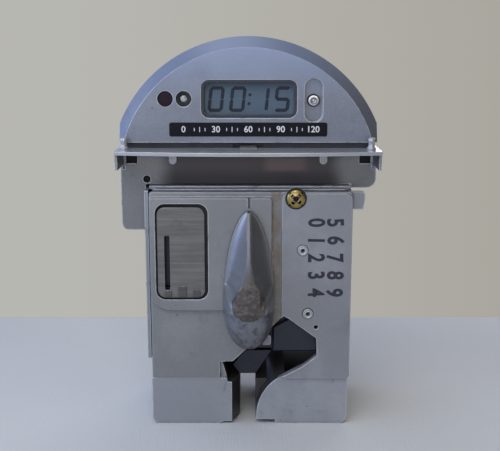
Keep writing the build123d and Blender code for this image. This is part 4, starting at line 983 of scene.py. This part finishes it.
def twist_handle():
    """A leaf-shaped grip: a narrow ridge with hollowed sides that swells to a blunt nose below its middle."""
    low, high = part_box("twist_handle")
    form = HandleForm(low, high)
    centre_x, centre_z, base_y = (low.x + high.x) / 2, (low.z + high.z) / 2, high.y
    bm = bmesh.new()
    wear = bm.verts.layers.float.new("wear")
    bmesh.ops.create_grid(bm, x_segments=72, y_segments=150, size=1)
    ridge_end, scoop_end, flank_end = 0.26, 0.66, 0.94
    past_ends = 1.015
    for vert in bm.verts:
        across, along = vert.co.x, vert.co.y * past_ends
        wall = abs(along) > 1
        along = min(max(along, -1.0), 1.0)
        share = abs(across)
        ridge, outer = form.ridge_width(along), form.width(along)
        scoop = ridge + max(form.scoop_width(along) - ridge, 0.3 * (outer - ridge))
        scoop = min(scoop, ridge + 0.95 * (outer - ridge))
        if share < ridge_end:
            x = ridge * share / ridge_end
        elif share < scoop_end:
            x = ridge + (scoop - ridge) * (share - ridge_end) / (scoop_end - ridge_end)
        else:
            x = scoop + (outer - scoop) * min((share - scoop_end) / (flank_end - scoop_end), 1.0)
        height = form.height(x, along)
        if share > flank_end:
            height *= 1 - (share - flank_end) / (1 - flank_end)
        if wall:
            height = 0.0
        side = 1 if across > 0 else -1
        vert[wear] = form.worn(x, along)
        vert.co = (centre_x + side * x, base_y - height, centre_z + along * form.half_length)
    rim = [edge for edge in bm.edges if edge.is_boundary]
    bmesh.ops.contextual_create(bm, geom=rim)
    bmesh.ops.remove_doubles(bm, verts=bm.verts, dist=0.00001)
    bmesh.ops.recalc_face_normals(bm, faces=bm.faces)
    placed("handle_grip", bm, "handle", "handle_metal", replaces=("twist_handle",), smooth=50.0)


# ---- Marks on the front ------------------------------------------------------------------------------------


def stamped_numbers():
    """The ten digits, inked in two even lines of five on the right plate and turned a quarter clockwise."""
    low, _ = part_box("service_plate")
    front = low.y - 0.02 * mm
    uneven = random.Random(7)
    top, pitch, height = 126.5, 10.6, 9.2
    bm = bmesh.new()
    for line, x in (("01234", 39.6), ("56789", 50.6)):
        for index, digit in enumerate(line):
            mesh = lettering(digit, height * mm, 0.00042)
            mesh.transform(Matrix.Scale(0.78, 4, (1, 0, 0)))
            lean = radians(90 + uneven.uniform(-4, 4))
            place = Vector(((x + uneven.uniform(-0.3, 0.3)) * mm, front, (top - pitch * index) * mm))
            mesh.transform(Matrix.Translation(place) @ Matrix.Rotation(lean, 4, "Y"))
            bm.from_mesh(mesh)
    ink = printing("stamp_ink", (0.012, 0.012, 0.022), 0.55)
    placed("stamped_numbers", bm, "chassis", "label_black", ink)


def notch_shade_blocks():
    """Black blocks behind the back plate's corner notches: painted shade seen through them."""
    low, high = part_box("back_plate")
    thickness, stand_off, drop = 3 * mm, 2.2 * mm, 1 * mm
    strips = ((low.x + 3 * mm, low.x + 18.5 * mm, 22 * mm), (high.x - 15 * mm, high.x - 3 * mm, 8 * mm))
    bm = bmesh.new()
    for left, right, height in strips:
        verts = bmesh.ops.create_cube(bm, size=1)["verts"]
        bmesh.ops.scale(bm, verts=verts, vec=(right - left, thickness, height))
        place = ((left + right) / 2, high.y + stand_off, high.z - drop - height / 2)
        bmesh.ops.translate(bm, verts=verts, vec=place)
    bmesh.ops.bevel(bm, geom=bm.edges, affect="EDGES", offset=0.5 * mm, segments=2, profile=0.5, material=-1)
    placed("notch_shade_blocks", bm, "chassis", "rubber")


def index_line():
    """The dark line that the handle's tip points to."""
    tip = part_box("twist_handle")[1]
    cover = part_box("front_cover")
    x = centre_of("twist_handle").x
    half = 0.75 * mm
    bm = bmesh.new()
    outline = [(-half, 0), (half, 0), (half, 6.4 * mm), (-half, 6.4 * mm)]
    flat_shape(bm, outline, 0.1 * mm, (x, cover[0].y - 0.04 * mm, tip.z + 1.3 * mm))
    bmesh.ops.recalc_face_normals(bm, faces=bm.faces)
    placed("index_line", bm, "chassis", "label_black", printing("index_paint", (0.06, 0.055, 0.05), 0.6))


# ---- Assembly ----------------------------------------------------------------------------------------------

make_camera()
make_floor()
make_lights()

for node, piece in nodes.items():
    for material_slot in piece.material_slots:
        material_slot.material = own_finishes.get(node) or finishes[node_slots[node]]

display_digits()
minute_scale()
dial_fittings()
cover_screw()
ringed_rivets()
locating_studs()
twist_handle()
stamped_numbers()
notch_shade_blocks()
index_line()
